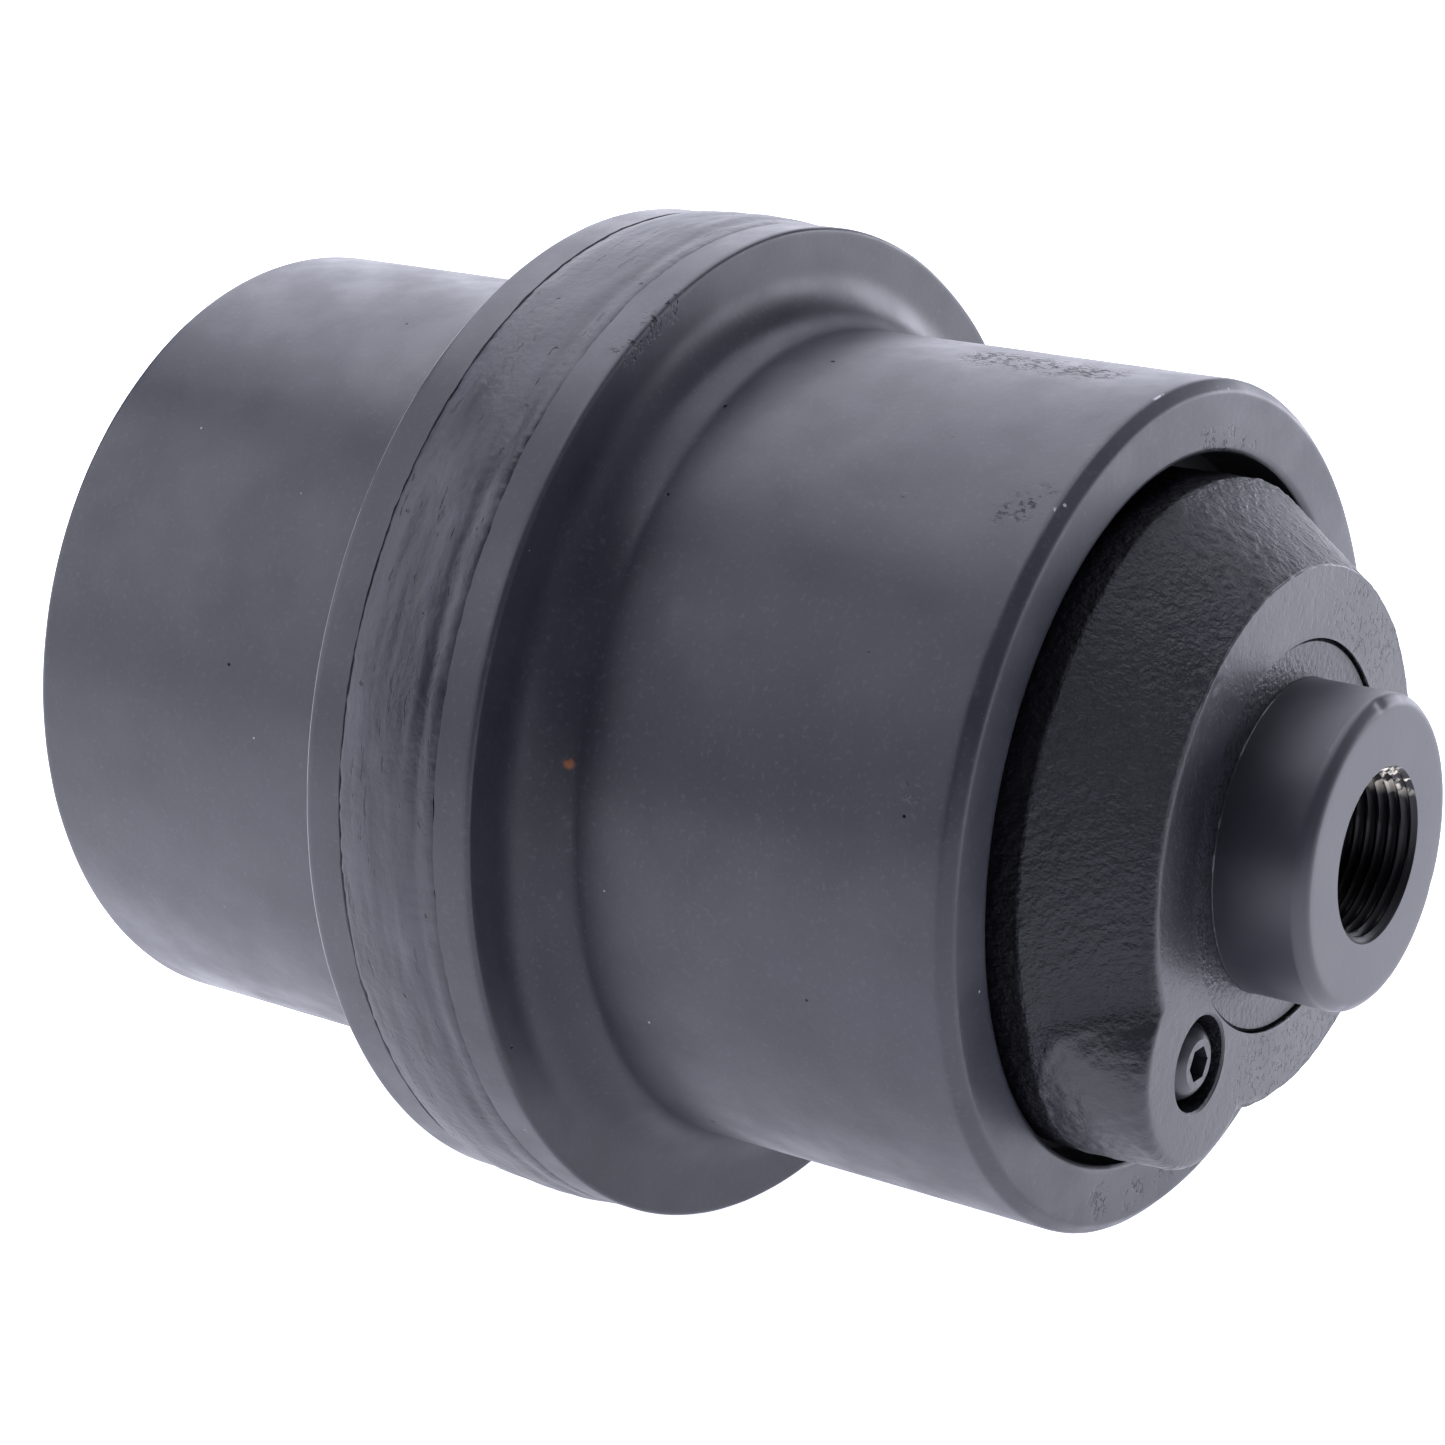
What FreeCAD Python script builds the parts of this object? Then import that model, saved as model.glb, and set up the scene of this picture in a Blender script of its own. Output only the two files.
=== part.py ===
"""Bottom track roller: a welded two-piece shell spinning on a fixed, stepped shaft.

Frame: origin at the roller's centre, +Y along the spin axis, +Z up, millimetres.
The front end is -Y and the rear end is +Y. Both ends use identical parts, so each piece of
an end is built at the front and turned half a turn about Z for the rear.
"Out" is a distance from the roller's centre along the axis, towards the end being built.
"""
import FreeCAD, Part
import math
import os

# ---- shell: two forged halves, welded round the middle of the flange ----
SHELL_HALF_WIDTH = 73.5
TREAD_RADIUS = 55.0
TREAD_EDGE_BEVEL = 1.5
FLANGE_RADIUS = 67.75
FLANGE_HALF_WIDTH = 13.1
FLANGE_EDGE_ROUND = 0.6
FLANGE_FILLET = 7.5
FLANGE_CREASE_DEG = 10.0            # the fillet stops this far short of running into the tread
CHAMBER_RADIUS = 33.0               # oil chamber between the two bushings
CHAMBER_HALF_WIDTH = 16.0
MOUTH_RADIUS = 45.9                 # open recess that the collar's rim sits in
MOUTH_FLOOR_OUT = 64.0
MOUTH_CHAMFER = 0.6

# ---- weld bead in the middle of the flange ----
WELD_HALF_WIDTH = 7.6
WELD_ROOT_HALF_WIDTH = 1.5
WELD_ROOT_RADIUS = 58.5
WELD_CROWN = 0.95

# ---- shaft ----
SHAFT_RADIUS = 25.0
SHAFT_SHOULDER_OUT = 88.9
SHAFT_SHOULDER_CHAMFER = 0.5
SHAFT_WAIST_RADIUS = 24.0           # oil relief between the bushings
SHAFT_WAIST_HALF_WIDTH = 14.0
JOURNAL_RADIUS = 20.0
JOURNAL_END_OUT = 101.3
JOURNAL_CHAMFER = 1.2
THREAD_MINOR_RADIUS = 10.19         # M22 x 1.5
THREAD_DEPTH = 38.0
THREAD_MOUTH_CHAMFER = 0.7
DRILL_POINT_DEG = 118.0

# ---- flanged bushing ----
BUSH_RUNNING_CLEARANCE = 0.08
BUSH_OUTER_RADIUS = 29.0
BUSH_FLANGE_RADIUS = 35.0
BUSH_FLANGE_THICKNESS = 4.0
BUSH_FLANGE_INNER_OUT = 52.0
BUSH_CHAMFER = 0.6
THRUST_GAP = 0.3

# ---- end collar ----
COLLAR_FACE_OUT = 89.4
COLLAR_FACE_RADIUS = 34.0
COLLAR_FACE_ROUND = 1.2
COLLAR_CONE_BASE_OUT = 76.0
COLLAR_RIM_RADIUS = 43.1
COLLAR_RIM_END_OUT = 66.0
COLLAR_HUB_RADIUS = 29.7
COLLAR_CAVITY_FLOOR_OUT = 74.0

# ---- collar lobe with the oil filler ----
LOBE_ANGLE_DEG = 43.2               # from straight down towards -X, at the front end
LOBE_OFFSET = 31.0
LOBE_RADIUS = 13.9
LOBE_BLEND_RADIUS = 4.5
LOBE_INNER_OUT = 70.0
FILLER_OFFSET = 31.7
FILLER_COUNTERBORE_RADIUS = 6.1
FILLER_COUNTERBORE_DEPTH = 4.5
FILLER_DRILL_RADIUS = 3.0

# ---- casting gate stub, on the rear collar only ----
STUB_ANGLE_DEG = 59.0               # from straight down towards -X
STUB_OFFSET = 38.5
STUB_RADIUS = 2.9

# ---- filler plug and its sealing washer ----
WASHER_THICKNESS = 1.0
WASHER_RADIUS = 5.7
PLUG_HEAD_RADIUS = 5.25
PLUG_HEAD_HEIGHT = 3.3
PLUG_HEAD_FLAT_RADIUS = 3.1
PLUG_HEAD_RIM = 0.6
PLUG_HEAD_BULGE = 0.3               # how far the dome's arc stands off its chord, each way
PLUG_SHANK_RADIUS = 2.9
PLUG_SHANK_LENGTH = 8.0
PLUG_HEX_ACROSS_FLATS = 4.0
PLUG_HEX_DEPTH = 2.1

# ---- floating seal: two metal rings face to face, each on a rubber toric ----
SEAL_PLANE_OUT = 65.0
SEAL_FACE_HALF_GAP = 0.05
SEAL_RAMP_DEG = 15.0
SEAL_SEAT_RADIUS = 38.0             # at the back end of the housing ramp
SEAL_SEAT_BACK = 8.0                # ramp's back end, behind the seal plane
SEAL_SEAT_FRONT = 1.0               # ramp's front end, behind the seal plane
SEAL_FLOOR_BACK = 9.0               # floor of the housing, behind the seal plane
SEAL_RING_INNER_RADIUS = 30.7
SEAL_RING_FLANGE_RADIUS = 36.8
SEAL_RING_FLANGE_WIDTH = 1.7
SEAL_RING_WIDTH = 7.0
TORIC_RADIUS = 2.28
TORIC_GAP = 2.3                     # half the distance between the two ramps
TORIC_BACK = 4.5                    # toric's centre, behind the seal plane

# ---- shaft seal and lock pin of the collar ----
O_RING_OUT = 70.0
O_RING_SECTION_RADIUS = 1.0
O_RING_GROOVE_HALF_WIDTH = 1.4
PIN_OUT = 81.0
PIN_RADIUS = 3.0
PIN_BORE_RADIUS = 1.6
PIN_INNER_REACH = 15.0
PIN_OUTER_REACH = 36.5
PIN_HOLE_REACH = 45.0

ORIGIN = FreeCAD.Vector(0, 0, 0)
SPIN_AXIS = FreeCAD.Vector(0, 1, 0)
FRONTWARD = FreeCAD.Vector(0, -1, 0)
UP = FreeCAD.Vector(0, 0, 1)
DOWN = FreeCAD.Vector(0, 0, -1)
HALF_TURN = 180.0
FULL_TURN = 360.0


# ---- helpers ----

def section_point(out, radius):
    """A corner of a turned part's half section, at the front end."""
    return FreeCAD.Vector(radius, -out, 0)


def turned(corners):
    """Solid of revolution about the spin axis.

    Each corner is (out, radius), or (out, radius, through) where through is the middle
    point of an arc that runs from the corner before.
    """
    edges = []
    before = section_point(*corners[-1][:2])
    for corner in corners:
        here = section_point(*corner[:2])
        if len(corner) == 3:
            edges.append(Part.Arc(before, section_point(*corner[2]), here).toShape())
        else:
            edges.append(Part.makeLine(before, here))
        before = here
    return Part.Face(Part.Wire(edges)).revolve(ORIGIN, SPIN_AXIS, FULL_TURN)


def round_point(centre_out, centre_radius, round_radius, angle_deg):
    """Point of a round in a half section; 0 degrees points out, 90 degrees away from the axis."""
    angle = math.radians(angle_deg)
    out = centre_out + round_radius * math.cos(angle)
    return (out, centre_radius + round_radius * math.sin(angle))


def face_point(radius, angle_deg, out=0.0):
    """Point at a radius and an angle from straight down towards -X."""
    angle = math.radians(angle_deg)
    return FreeCAD.Vector(-radius * math.sin(angle), -out, -radius * math.cos(angle))


def front_cylinder(radius, centre_radius, angle_deg, inner_out, outer_out):
    """Cylinder along the spin axis, at the front end, centred off the axis."""
    start = face_point(centre_radius, angle_deg, inner_out)
    return Part.makeCylinder(radius, outer_out - inner_out, start, FRONTWARD)


def ramp_radius(back, start_radius=SEAL_SEAT_RADIUS):
    """Radius of the seal housing's ramp at a distance behind the seal plane."""
    return start_radius + (SEAL_SEAT_BACK - back) * math.tan(math.radians(SEAL_RAMP_DEG))


# ---- roller: everything that spins ----

def shell_half():
    """Forged half shell: flange half, tread, bushing bore, seal housing and open mouth."""
    crease = math.radians(FLANGE_CREASE_DEG)
    fillet_out = FLANGE_HALF_WIDTH + FLANGE_FILLET
    fillet_radius = TREAD_RADIUS + FLANGE_FILLET * math.cos(crease)
    crease_out = fillet_out - FLANGE_FILLET * math.sin(crease)
    fillet_middle_deg = 225.0 - FLANGE_CREASE_DEG / 2
    rim_out = FLANGE_HALF_WIDTH - FLANGE_EDGE_ROUND
    rim_radius = FLANGE_RADIUS - FLANGE_EDGE_ROUND
    flange_seat_out = BUSH_FLANGE_INNER_OUT + BUSH_FLANGE_THICKNESS
    return turned([
        (0.0, CHAMBER_RADIUS),
        (CHAMBER_HALF_WIDTH, CHAMBER_RADIUS),
        (CHAMBER_HALF_WIDTH, BUSH_OUTER_RADIUS),
        (BUSH_FLANGE_INNER_OUT, BUSH_OUTER_RADIUS),
        (BUSH_FLANGE_INNER_OUT, BUSH_FLANGE_RADIUS),
        (flange_seat_out, BUSH_FLANGE_RADIUS),
        (flange_seat_out, SEAL_SEAT_RADIUS),
        (SEAL_PLANE_OUT - SEAL_SEAT_BACK, SEAL_SEAT_RADIUS),
        (MOUTH_FLOOR_OUT, ramp_radius(SEAL_SEAT_FRONT)),
        (MOUTH_FLOOR_OUT, MOUTH_RADIUS),
        (SHELL_HALF_WIDTH - MOUTH_CHAMFER, MOUTH_RADIUS),
        (SHELL_HALF_WIDTH, MOUTH_RADIUS + MOUTH_CHAMFER),
        (SHELL_HALF_WIDTH, TREAD_RADIUS - TREAD_EDGE_BEVEL),
        (SHELL_HALF_WIDTH - TREAD_EDGE_BEVEL, TREAD_RADIUS),
        (crease_out, TREAD_RADIUS),
        (FLANGE_HALF_WIDTH, fillet_radius,
         round_point(fillet_out, fillet_radius, FLANGE_FILLET, fillet_middle_deg)),
        (FLANGE_HALF_WIDTH, rim_radius),
        (rim_out, FLANGE_RADIUS, round_point(rim_out, rim_radius, FLANGE_EDGE_ROUND, 45)),
        (WELD_HALF_WIDTH, FLANGE_RADIUS),
        (WELD_ROOT_HALF_WIDTH, WELD_ROOT_RADIUS),
        (0.0, WELD_ROOT_RADIUS),
    ])


def weld_bead():
    """Weld metal that fills the groove between the halves and stands a little proud."""
    return turned([
        (-WELD_ROOT_HALF_WIDTH, WELD_ROOT_RADIUS),
        (WELD_ROOT_HALF_WIDTH, WELD_ROOT_RADIUS),
        (WELD_HALF_WIDTH, FLANGE_RADIUS),
        (-WELD_HALF_WIDTH, FLANGE_RADIUS, (0.0, FLANGE_RADIUS + WELD_CROWN)),
    ])


def bushing():
    """Bimetal sleeve with a thrust flange, pressed into its half shell."""
    bore = SHAFT_RADIUS + BUSH_RUNNING_CLEARANCE
    flange_out = BUSH_FLANGE_INNER_OUT + BUSH_FLANGE_THICKNESS
    return turned([
        (CHAMBER_HALF_WIDTH + BUSH_CHAMFER, bore),
        (CHAMBER_HALF_WIDTH, bore + BUSH_CHAMFER),
        (CHAMBER_HALF_WIDTH, BUSH_OUTER_RADIUS - BUSH_CHAMFER),
        (CHAMBER_HALF_WIDTH + BUSH_CHAMFER, BUSH_OUTER_RADIUS),
        (BUSH_FLANGE_INNER_OUT, BUSH_OUTER_RADIUS),
        (BUSH_FLANGE_INNER_OUT, BUSH_FLANGE_RADIUS),
        (flange_out, BUSH_FLANGE_RADIUS),
        (flange_out, bore + BUSH_CHAMFER),
        (flange_out - BUSH_CHAMFER, bore),
    ])


def seal_ring(side):
    """Lapped metal ring; side is -1 for the rotating ring, +1 for the fixed one."""
    ring_ramp_start = SEAL_SEAT_RADIUS - 2 * TORIC_GAP / math.cos(math.radians(SEAL_RAMP_DEG))
    flange_back = SEAL_FACE_HALF_GAP + SEAL_RING_FLANGE_WIDTH
    corners = [
        (SEAL_FACE_HALF_GAP, SEAL_RING_INNER_RADIUS),
        (SEAL_FACE_HALF_GAP, SEAL_RING_FLANGE_RADIUS),
        (flange_back, SEAL_RING_FLANGE_RADIUS),
        (flange_back, ramp_radius(flange_back, ring_ramp_start)),
        (SEAL_RING_WIDTH, ramp_radius(SEAL_RING_WIDTH, ring_ramp_start)),
        (SEAL_RING_WIDTH, SEAL_RING_INNER_RADIUS),
    ]
    return turned([(SEAL_PLANE_OUT + side * back, radius) for back, radius in corners])


def toric(side):
    """Rubber toric squeezed between a seal ring's ramp and its housing's ramp."""
    middle = ramp_radius(TORIC_BACK) - TORIC_GAP / math.cos(math.radians(SEAL_RAMP_DEG))
    centre = FreeCAD.Vector(0, -(SEAL_PLANE_OUT + side * TORIC_BACK), 0)
    return Part.makeTorus(middle, TORIC_RADIUS, centre, SPIN_AXIS)


# ---- shaft and everything fixed to it ----

def threaded_hole():
    """Hole in the shaft's end: thread at its minor radius, drill point and mouth chamfer."""
    bottom_out = JOURNAL_END_OUT - THREAD_DEPTH
    point = THREAD_MINOR_RADIUS / math.tan(math.radians(DRILL_POINT_DEG / 2))
    return turned([
        (bottom_out - point, 0.0),
        (bottom_out, THREAD_MINOR_RADIUS),
        (JOURNAL_END_OUT - THREAD_MOUTH_CHAMFER, THREAD_MINOR_RADIUS),
        (JOURNAL_END_OUT, THREAD_MINOR_RADIUS + THREAD_MOUTH_CHAMFER),
        (JOURNAL_END_OUT, 0.0),
    ])


def lock_pin_hole():
    """Radial hole for the lock pin, from inside the shaft out through the collar."""
    start = FreeCAD.Vector(0, -PIN_OUT, -PIN_INNER_REACH)
    return Part.makeCylinder(PIN_RADIUS, PIN_HOLE_REACH - PIN_INNER_REACH, start, DOWN)


def shaft():
    """Stepped shaft: waist, bushing seats, collar seats and threaded end journals."""
    waist_step = SHAFT_RADIUS - SHAFT_WAIST_RADIUS
    front = [
        (SHAFT_WAIST_HALF_WIDTH, SHAFT_WAIST_RADIUS),
        (SHAFT_WAIST_HALF_WIDTH + waist_step, SHAFT_RADIUS),
        (SHAFT_SHOULDER_OUT - SHAFT_SHOULDER_CHAMFER, SHAFT_RADIUS),
        (SHAFT_SHOULDER_OUT, SHAFT_RADIUS - SHAFT_SHOULDER_CHAMFER),
        (SHAFT_SHOULDER_OUT, JOURNAL_RADIUS),
        (JOURNAL_END_OUT - JOURNAL_CHAMFER, JOURNAL_RADIUS),
        (JOURNAL_END_OUT, JOURNAL_RADIUS - JOURNAL_CHAMFER),
        (JOURNAL_END_OUT, 0.0),
    ]
    rear = [(-out, radius) for out, radius in reversed(front)]
    body = turned(front + rear)
    for hole in (threaded_hole(), lock_pin_hole()):
        body = body.cut(hole).cut(at_rear(hole))
    return body


def lobe_prism():
    """Lobe beside the collar's face, blended into the face's edge by two hollow arcs."""
    blend_offset = COLLAR_FACE_RADIUS + LOBE_BLEND_RADIUS
    reach = LOBE_RADIUS + LOBE_BLEND_RADIUS
    spread_cosine = blend_offset ** 2 + LOBE_OFFSET ** 2 - reach ** 2
    spread_deg = math.degrees(math.acos(spread_cosine / (2 * blend_offset * LOBE_OFFSET)))
    centre = face_point(LOBE_OFFSET, LOBE_ANGLE_DEG, LOBE_INNER_OUT)
    tip = face_point(LOBE_OFFSET + LOBE_RADIUS, LOBE_ANGLE_DEG, LOBE_INNER_OUT)
    blends = []
    for side in (-1, 1):
        angle_deg = LOBE_ANGLE_DEG + side * spread_deg
        blend_centre = face_point(blend_offset, angle_deg, LOBE_INNER_OUT)
        on_face_edge = face_point(COLLAR_FACE_RADIUS, angle_deg, LOBE_INNER_OUT)
        on_lobe = centre + (blend_centre - centre) * (LOBE_RADIUS / reach)
        inwards = (on_face_edge + on_lobe) * 0.5 - blend_centre
        middle = blend_centre + inwards * (LOBE_BLEND_RADIUS / inwards.Length)
        blends.append((on_face_edge, middle, on_lobe))
    (edge_a, middle_a, lobe_a), (edge_b, middle_b, lobe_b) = blends
    outline = Part.Wire([
        Part.Arc(edge_a, middle_a, lobe_a).toShape(),
        Part.Arc(lobe_a, tip, lobe_b).toShape(),
        Part.Arc(lobe_b, middle_b, edge_b).toShape(),
        Part.makeLine(edge_b, edge_a),
    ])
    return Part.Face(outline).extrude(FRONTWARD * (COLLAR_FACE_OUT - LOBE_INNER_OUT))


def collar_hollow():
    """Shaft bore, its O-ring groove and the seal housing, all turned from the collar."""
    groove_radius = SHAFT_RADIUS + 2 * O_RING_SECTION_RADIUS
    floor_out = COLLAR_CAVITY_FLOOR_OUT
    hub_out = hub_end_out()
    bore = turned([
        (hub_out, 0.0),
        (hub_out, SHAFT_RADIUS),
        (COLLAR_FACE_OUT, SHAFT_RADIUS),
        (COLLAR_FACE_OUT, 0.0),
    ])
    groove = turned([
        (O_RING_OUT - O_RING_GROOVE_HALF_WIDTH, SHAFT_RADIUS),
        (O_RING_OUT - O_RING_GROOVE_HALF_WIDTH, groove_radius),
        (O_RING_OUT + O_RING_GROOVE_HALF_WIDTH, groove_radius),
        (O_RING_OUT + O_RING_GROOVE_HALF_WIDTH, SHAFT_RADIUS),
    ])
    housing = turned([
        (hub_out, COLLAR_HUB_RADIUS),
        (floor_out, COLLAR_HUB_RADIUS),
        (floor_out, SEAL_SEAT_RADIUS),
        (SEAL_PLANE_OUT + SEAL_SEAT_BACK, SEAL_SEAT_RADIUS),
        (COLLAR_RIM_END_OUT, ramp_radius(SEAL_SEAT_FRONT)),
        (COLLAR_RIM_END_OUT, MOUTH_RADIUS),
        (hub_out, MOUTH_RADIUS),
    ])
    return bore.fuse(groove).fuse(housing)


def hub_end_out():
    """Inner end of the collar's hub, which takes the bushing's thrust."""
    return BUSH_FLANGE_INNER_OUT + BUSH_FLANGE_THICKNESS + THRUST_GAP


def collar():
    """Cast end collar: rim in the shell's mouth, cone, flat face and filler lobe."""
    round_out = COLLAR_FACE_OUT - COLLAR_FACE_ROUND
    slope = (COLLAR_RIM_RADIUS - COLLAR_FACE_RADIUS) / (COLLAR_FACE_OUT - COLLAR_CONE_BASE_OUT)
    round_radius = COLLAR_FACE_RADIUS + slope * COLLAR_FACE_ROUND
    blank = turned([
        (hub_end_out(), 0.0),
        (hub_end_out(), COLLAR_RIM_RADIUS),
        (COLLAR_CONE_BASE_OUT, COLLAR_RIM_RADIUS),
        (round_out, round_radius),
        (COLLAR_FACE_OUT, COLLAR_FACE_RADIUS - COLLAR_FACE_ROUND / 2),
        (COLLAR_FACE_OUT, 0.0),
    ])
    filler_floor = COLLAR_FACE_OUT - FILLER_COUNTERBORE_DEPTH
    counterbore = front_cylinder(FILLER_COUNTERBORE_RADIUS, FILLER_OFFSET, LOBE_ANGLE_DEG,
                                 filler_floor, COLLAR_FACE_OUT)
    drilling = front_cylinder(FILLER_DRILL_RADIUS, FILLER_OFFSET, LOBE_ANGLE_DEG,
                              COLLAR_CAVITY_FLOOR_OUT, filler_floor)
    solid = blank.fuse(lobe_prism())
    for tool in (collar_hollow(), counterbore, drilling, lock_pin_hole()):
        solid = solid.cut(tool)
    return solid.removeSplitter()


def rear_collar():
    """The same casting, with the stub of its gate left standing on the cone."""
    stub = front_cylinder(STUB_RADIUS, STUB_OFFSET, -STUB_ANGLE_DEG,
                          COLLAR_CONE_BASE_OUT, COLLAR_FACE_OUT)
    return at_rear(collar().fuse(stub).removeSplitter())


def o_ring():
    """Static seal between the shaft and the collar's bore."""
    centre = FreeCAD.Vector(0, -O_RING_OUT, 0)
    return Part.makeTorus(SHAFT_RADIUS + O_RING_SECTION_RADIUS, O_RING_SECTION_RADIUS, centre, SPIN_AXIS)


def lock_pin():
    """Hollow pin that keeps the collar from turning or sliding on the shaft."""
    start = FreeCAD.Vector(0, -PIN_OUT, -PIN_INNER_REACH)
    length = PIN_OUTER_REACH - PIN_INNER_REACH
    body = Part.makeCylinder(PIN_RADIUS, length, start, DOWN)
    return body.cut(Part.makeCylinder(PIN_BORE_RADIUS, length, start, DOWN))


def plug_washer():
    """Sealing washer under the filler plug's head."""
    floor_out = COLLAR_FACE_OUT - FILLER_COUNTERBORE_DEPTH
    top_out = floor_out + WASHER_THICKNESS
    disc = front_cylinder(WASHER_RADIUS, FILLER_OFFSET, LOBE_ANGLE_DEG, floor_out, top_out)
    return disc.cut(front_cylinder(FILLER_DRILL_RADIUS, FILLER_OFFSET, LOBE_ANGLE_DEG, floor_out, top_out))


def filler_plug():
    """Button-head plug with a hexagon socket, turned upright and then set in the lobe."""
    dome_foot = FreeCAD.Vector(PLUG_HEAD_RADIUS, 0, PLUG_HEAD_RIM)
    dome_top = FreeCAD.Vector(PLUG_HEAD_FLAT_RADIUS, 0, PLUG_HEAD_HEIGHT)
    dome_middle = (dome_foot + dome_top) * 0.5 + FreeCAD.Vector(1, 0, 1) * PLUG_HEAD_BULGE
    profile = Part.Wire([
        Part.makeLine(ORIGIN, FreeCAD.Vector(PLUG_HEAD_RADIUS, 0, 0)),
        Part.makeLine(FreeCAD.Vector(PLUG_HEAD_RADIUS, 0, 0), dome_foot),
        Part.Arc(dome_foot, dome_middle, dome_top).toShape(),
        Part.makeLine(dome_top, UP * PLUG_HEAD_HEIGHT),
        Part.makeLine(UP * PLUG_HEAD_HEIGHT, ORIGIN),
    ])
    head = Part.Face(profile).revolve(ORIGIN, UP, FULL_TURN)
    shank = Part.makeCylinder(PLUG_SHANK_RADIUS, PLUG_SHANK_LENGTH, ORIGIN, DOWN)
    socket_floor = UP * (PLUG_HEAD_HEIGHT - PLUG_HEX_DEPTH)
    corner_reach = PLUG_HEX_ACROSS_FLATS / math.sqrt(3)
    corners = []
    for corner in range(7):
        angle = math.radians(60 * corner)
        corners.append(socket_floor + FreeCAD.Vector(math.cos(angle), math.sin(angle), 0) * corner_reach)
    hexagon = Part.makePolygon(corners)
    plug = head.fuse(shank).cut(Part.Face(hexagon).extrude(UP * PLUG_HEAD_HEIGHT))
    seat_out = COLLAR_FACE_OUT - FILLER_COUNTERBORE_DEPTH + WASHER_THICKNESS
    plug.rotate(ORIGIN, FreeCAD.Vector(1, 0, 0), 90)
    plug.translate(face_point(FILLER_OFFSET, LOBE_ANGLE_DEG, seat_out))
    return plug


# ---- assembly ----

def at_rear(shape):
    """A front piece turned half a turn about Z, to sit at the rear."""
    turned_shape = shape.copy()
    turned_shape.rotate(ORIGIN, UP, HALF_TURN)
    return turned_shape


def save(name, shape):
    """Write one node, after checking that it is one valid solid."""
    if not shape.isValid() or len(shape.Solids) != 1:
        raise ValueError(name + " is not one valid solid")
    shape.Solids[0].exportStep("parts/" + name + ".step")


def main():
    os.makedirs("parts", exist_ok=True)
    save("shaft", shaft())
    save("weld_bead", weld_bead())
    save("end_collar_front", collar())
    save("end_collar_rear", rear_collar())
    front_pieces = {
        "shell_half": shell_half(),
        "bushing": bushing(),
        "seal_ring_rotating": seal_ring(-1),
        "seal_ring_fixed": seal_ring(1),
        "toric_rotating": toric(-1),
        "toric_fixed": toric(1),
        "shaft_o_ring": o_ring(),
        "lock_pin": lock_pin(),
        "plug_washer": plug_washer(),
        "filler_plug": filler_plug(),
    }
    for name, shape in front_pieces.items():
        save(name + "_front", shape)
        save(name + "_rear", at_rear(shape))


main()
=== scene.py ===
"""Looks of the track roller: painted turned shell, rough weld, cast collars and threaded shaft.

Lengths are written in millimetres, as in the CAD, and become metres when a mesh is made.
"Out" is a distance from the roller's centre along the spin axis, towards the end being built.
"""
import itertools
import math

import bpy
import numpy as np
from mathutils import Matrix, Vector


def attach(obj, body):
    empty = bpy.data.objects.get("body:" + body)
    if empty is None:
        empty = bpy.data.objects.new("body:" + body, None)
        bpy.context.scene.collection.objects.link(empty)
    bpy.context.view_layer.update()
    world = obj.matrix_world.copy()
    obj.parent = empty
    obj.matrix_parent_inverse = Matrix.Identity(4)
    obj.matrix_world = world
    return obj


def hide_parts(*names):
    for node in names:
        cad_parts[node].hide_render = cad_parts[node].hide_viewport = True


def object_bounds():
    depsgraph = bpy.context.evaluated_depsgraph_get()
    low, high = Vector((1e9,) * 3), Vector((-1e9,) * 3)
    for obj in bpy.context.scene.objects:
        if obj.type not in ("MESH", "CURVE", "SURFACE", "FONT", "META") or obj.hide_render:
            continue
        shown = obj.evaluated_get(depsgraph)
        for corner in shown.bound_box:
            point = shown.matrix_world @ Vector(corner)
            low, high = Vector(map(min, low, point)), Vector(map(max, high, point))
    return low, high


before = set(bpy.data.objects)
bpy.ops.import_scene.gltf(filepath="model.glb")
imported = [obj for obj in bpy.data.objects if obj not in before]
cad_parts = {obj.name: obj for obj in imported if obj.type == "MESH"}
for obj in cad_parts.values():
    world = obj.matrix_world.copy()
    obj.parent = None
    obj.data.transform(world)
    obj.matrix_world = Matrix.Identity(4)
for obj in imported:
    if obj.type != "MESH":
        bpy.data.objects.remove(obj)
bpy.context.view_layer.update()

MM = 0.001
NOISE_TABLE = 64

# ---- shell ----
SHELL_HALF_WIDTH = 73.5
TREAD_RADIUS = 55.0
TREAD_EDGE_BEVEL = 1.5
EDGE_SOFTENING = 0.45
FLANGE_RADIUS = 67.75
FLANGE_HALF_WIDTH = 13.1
FLANGE_EDGE_ROUND = 0.6
FLANGE_FILLET = 7.5
FLANGE_CREASE_DEG = 10.0
CHAMBER_RADIUS = 33.0
CHAMBER_HALF_WIDTH = 16.0
BUSH_OUTER_RADIUS = 29.0
BUSH_FLANGE_RADIUS = 35.0
BUSH_FLANGE_INNER_OUT = 52.0
BUSH_FLANGE_OUTER_OUT = 56.0
SEAL_SEAT_RADIUS = 38.0
SEAL_SEAT_MOUTH_RADIUS = 39.88
SEAL_SEAT_OUT = 57.0
MOUTH_RADIUS = 45.9
MOUTH_FLOOR_OUT = 64.0
MOUTH_CHAMFER = 0.6
SHELL_SEGMENTS = 540
SHELL_SKIN_LAYERS = [(13.0, 0.035), (4.0, 0.016)]
WELD_LAND_LAYERS = [(4.0, 0.10), (1.3, 0.12)]
SHELL_SEEDS = {"front": 41, "rear": 47}

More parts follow.
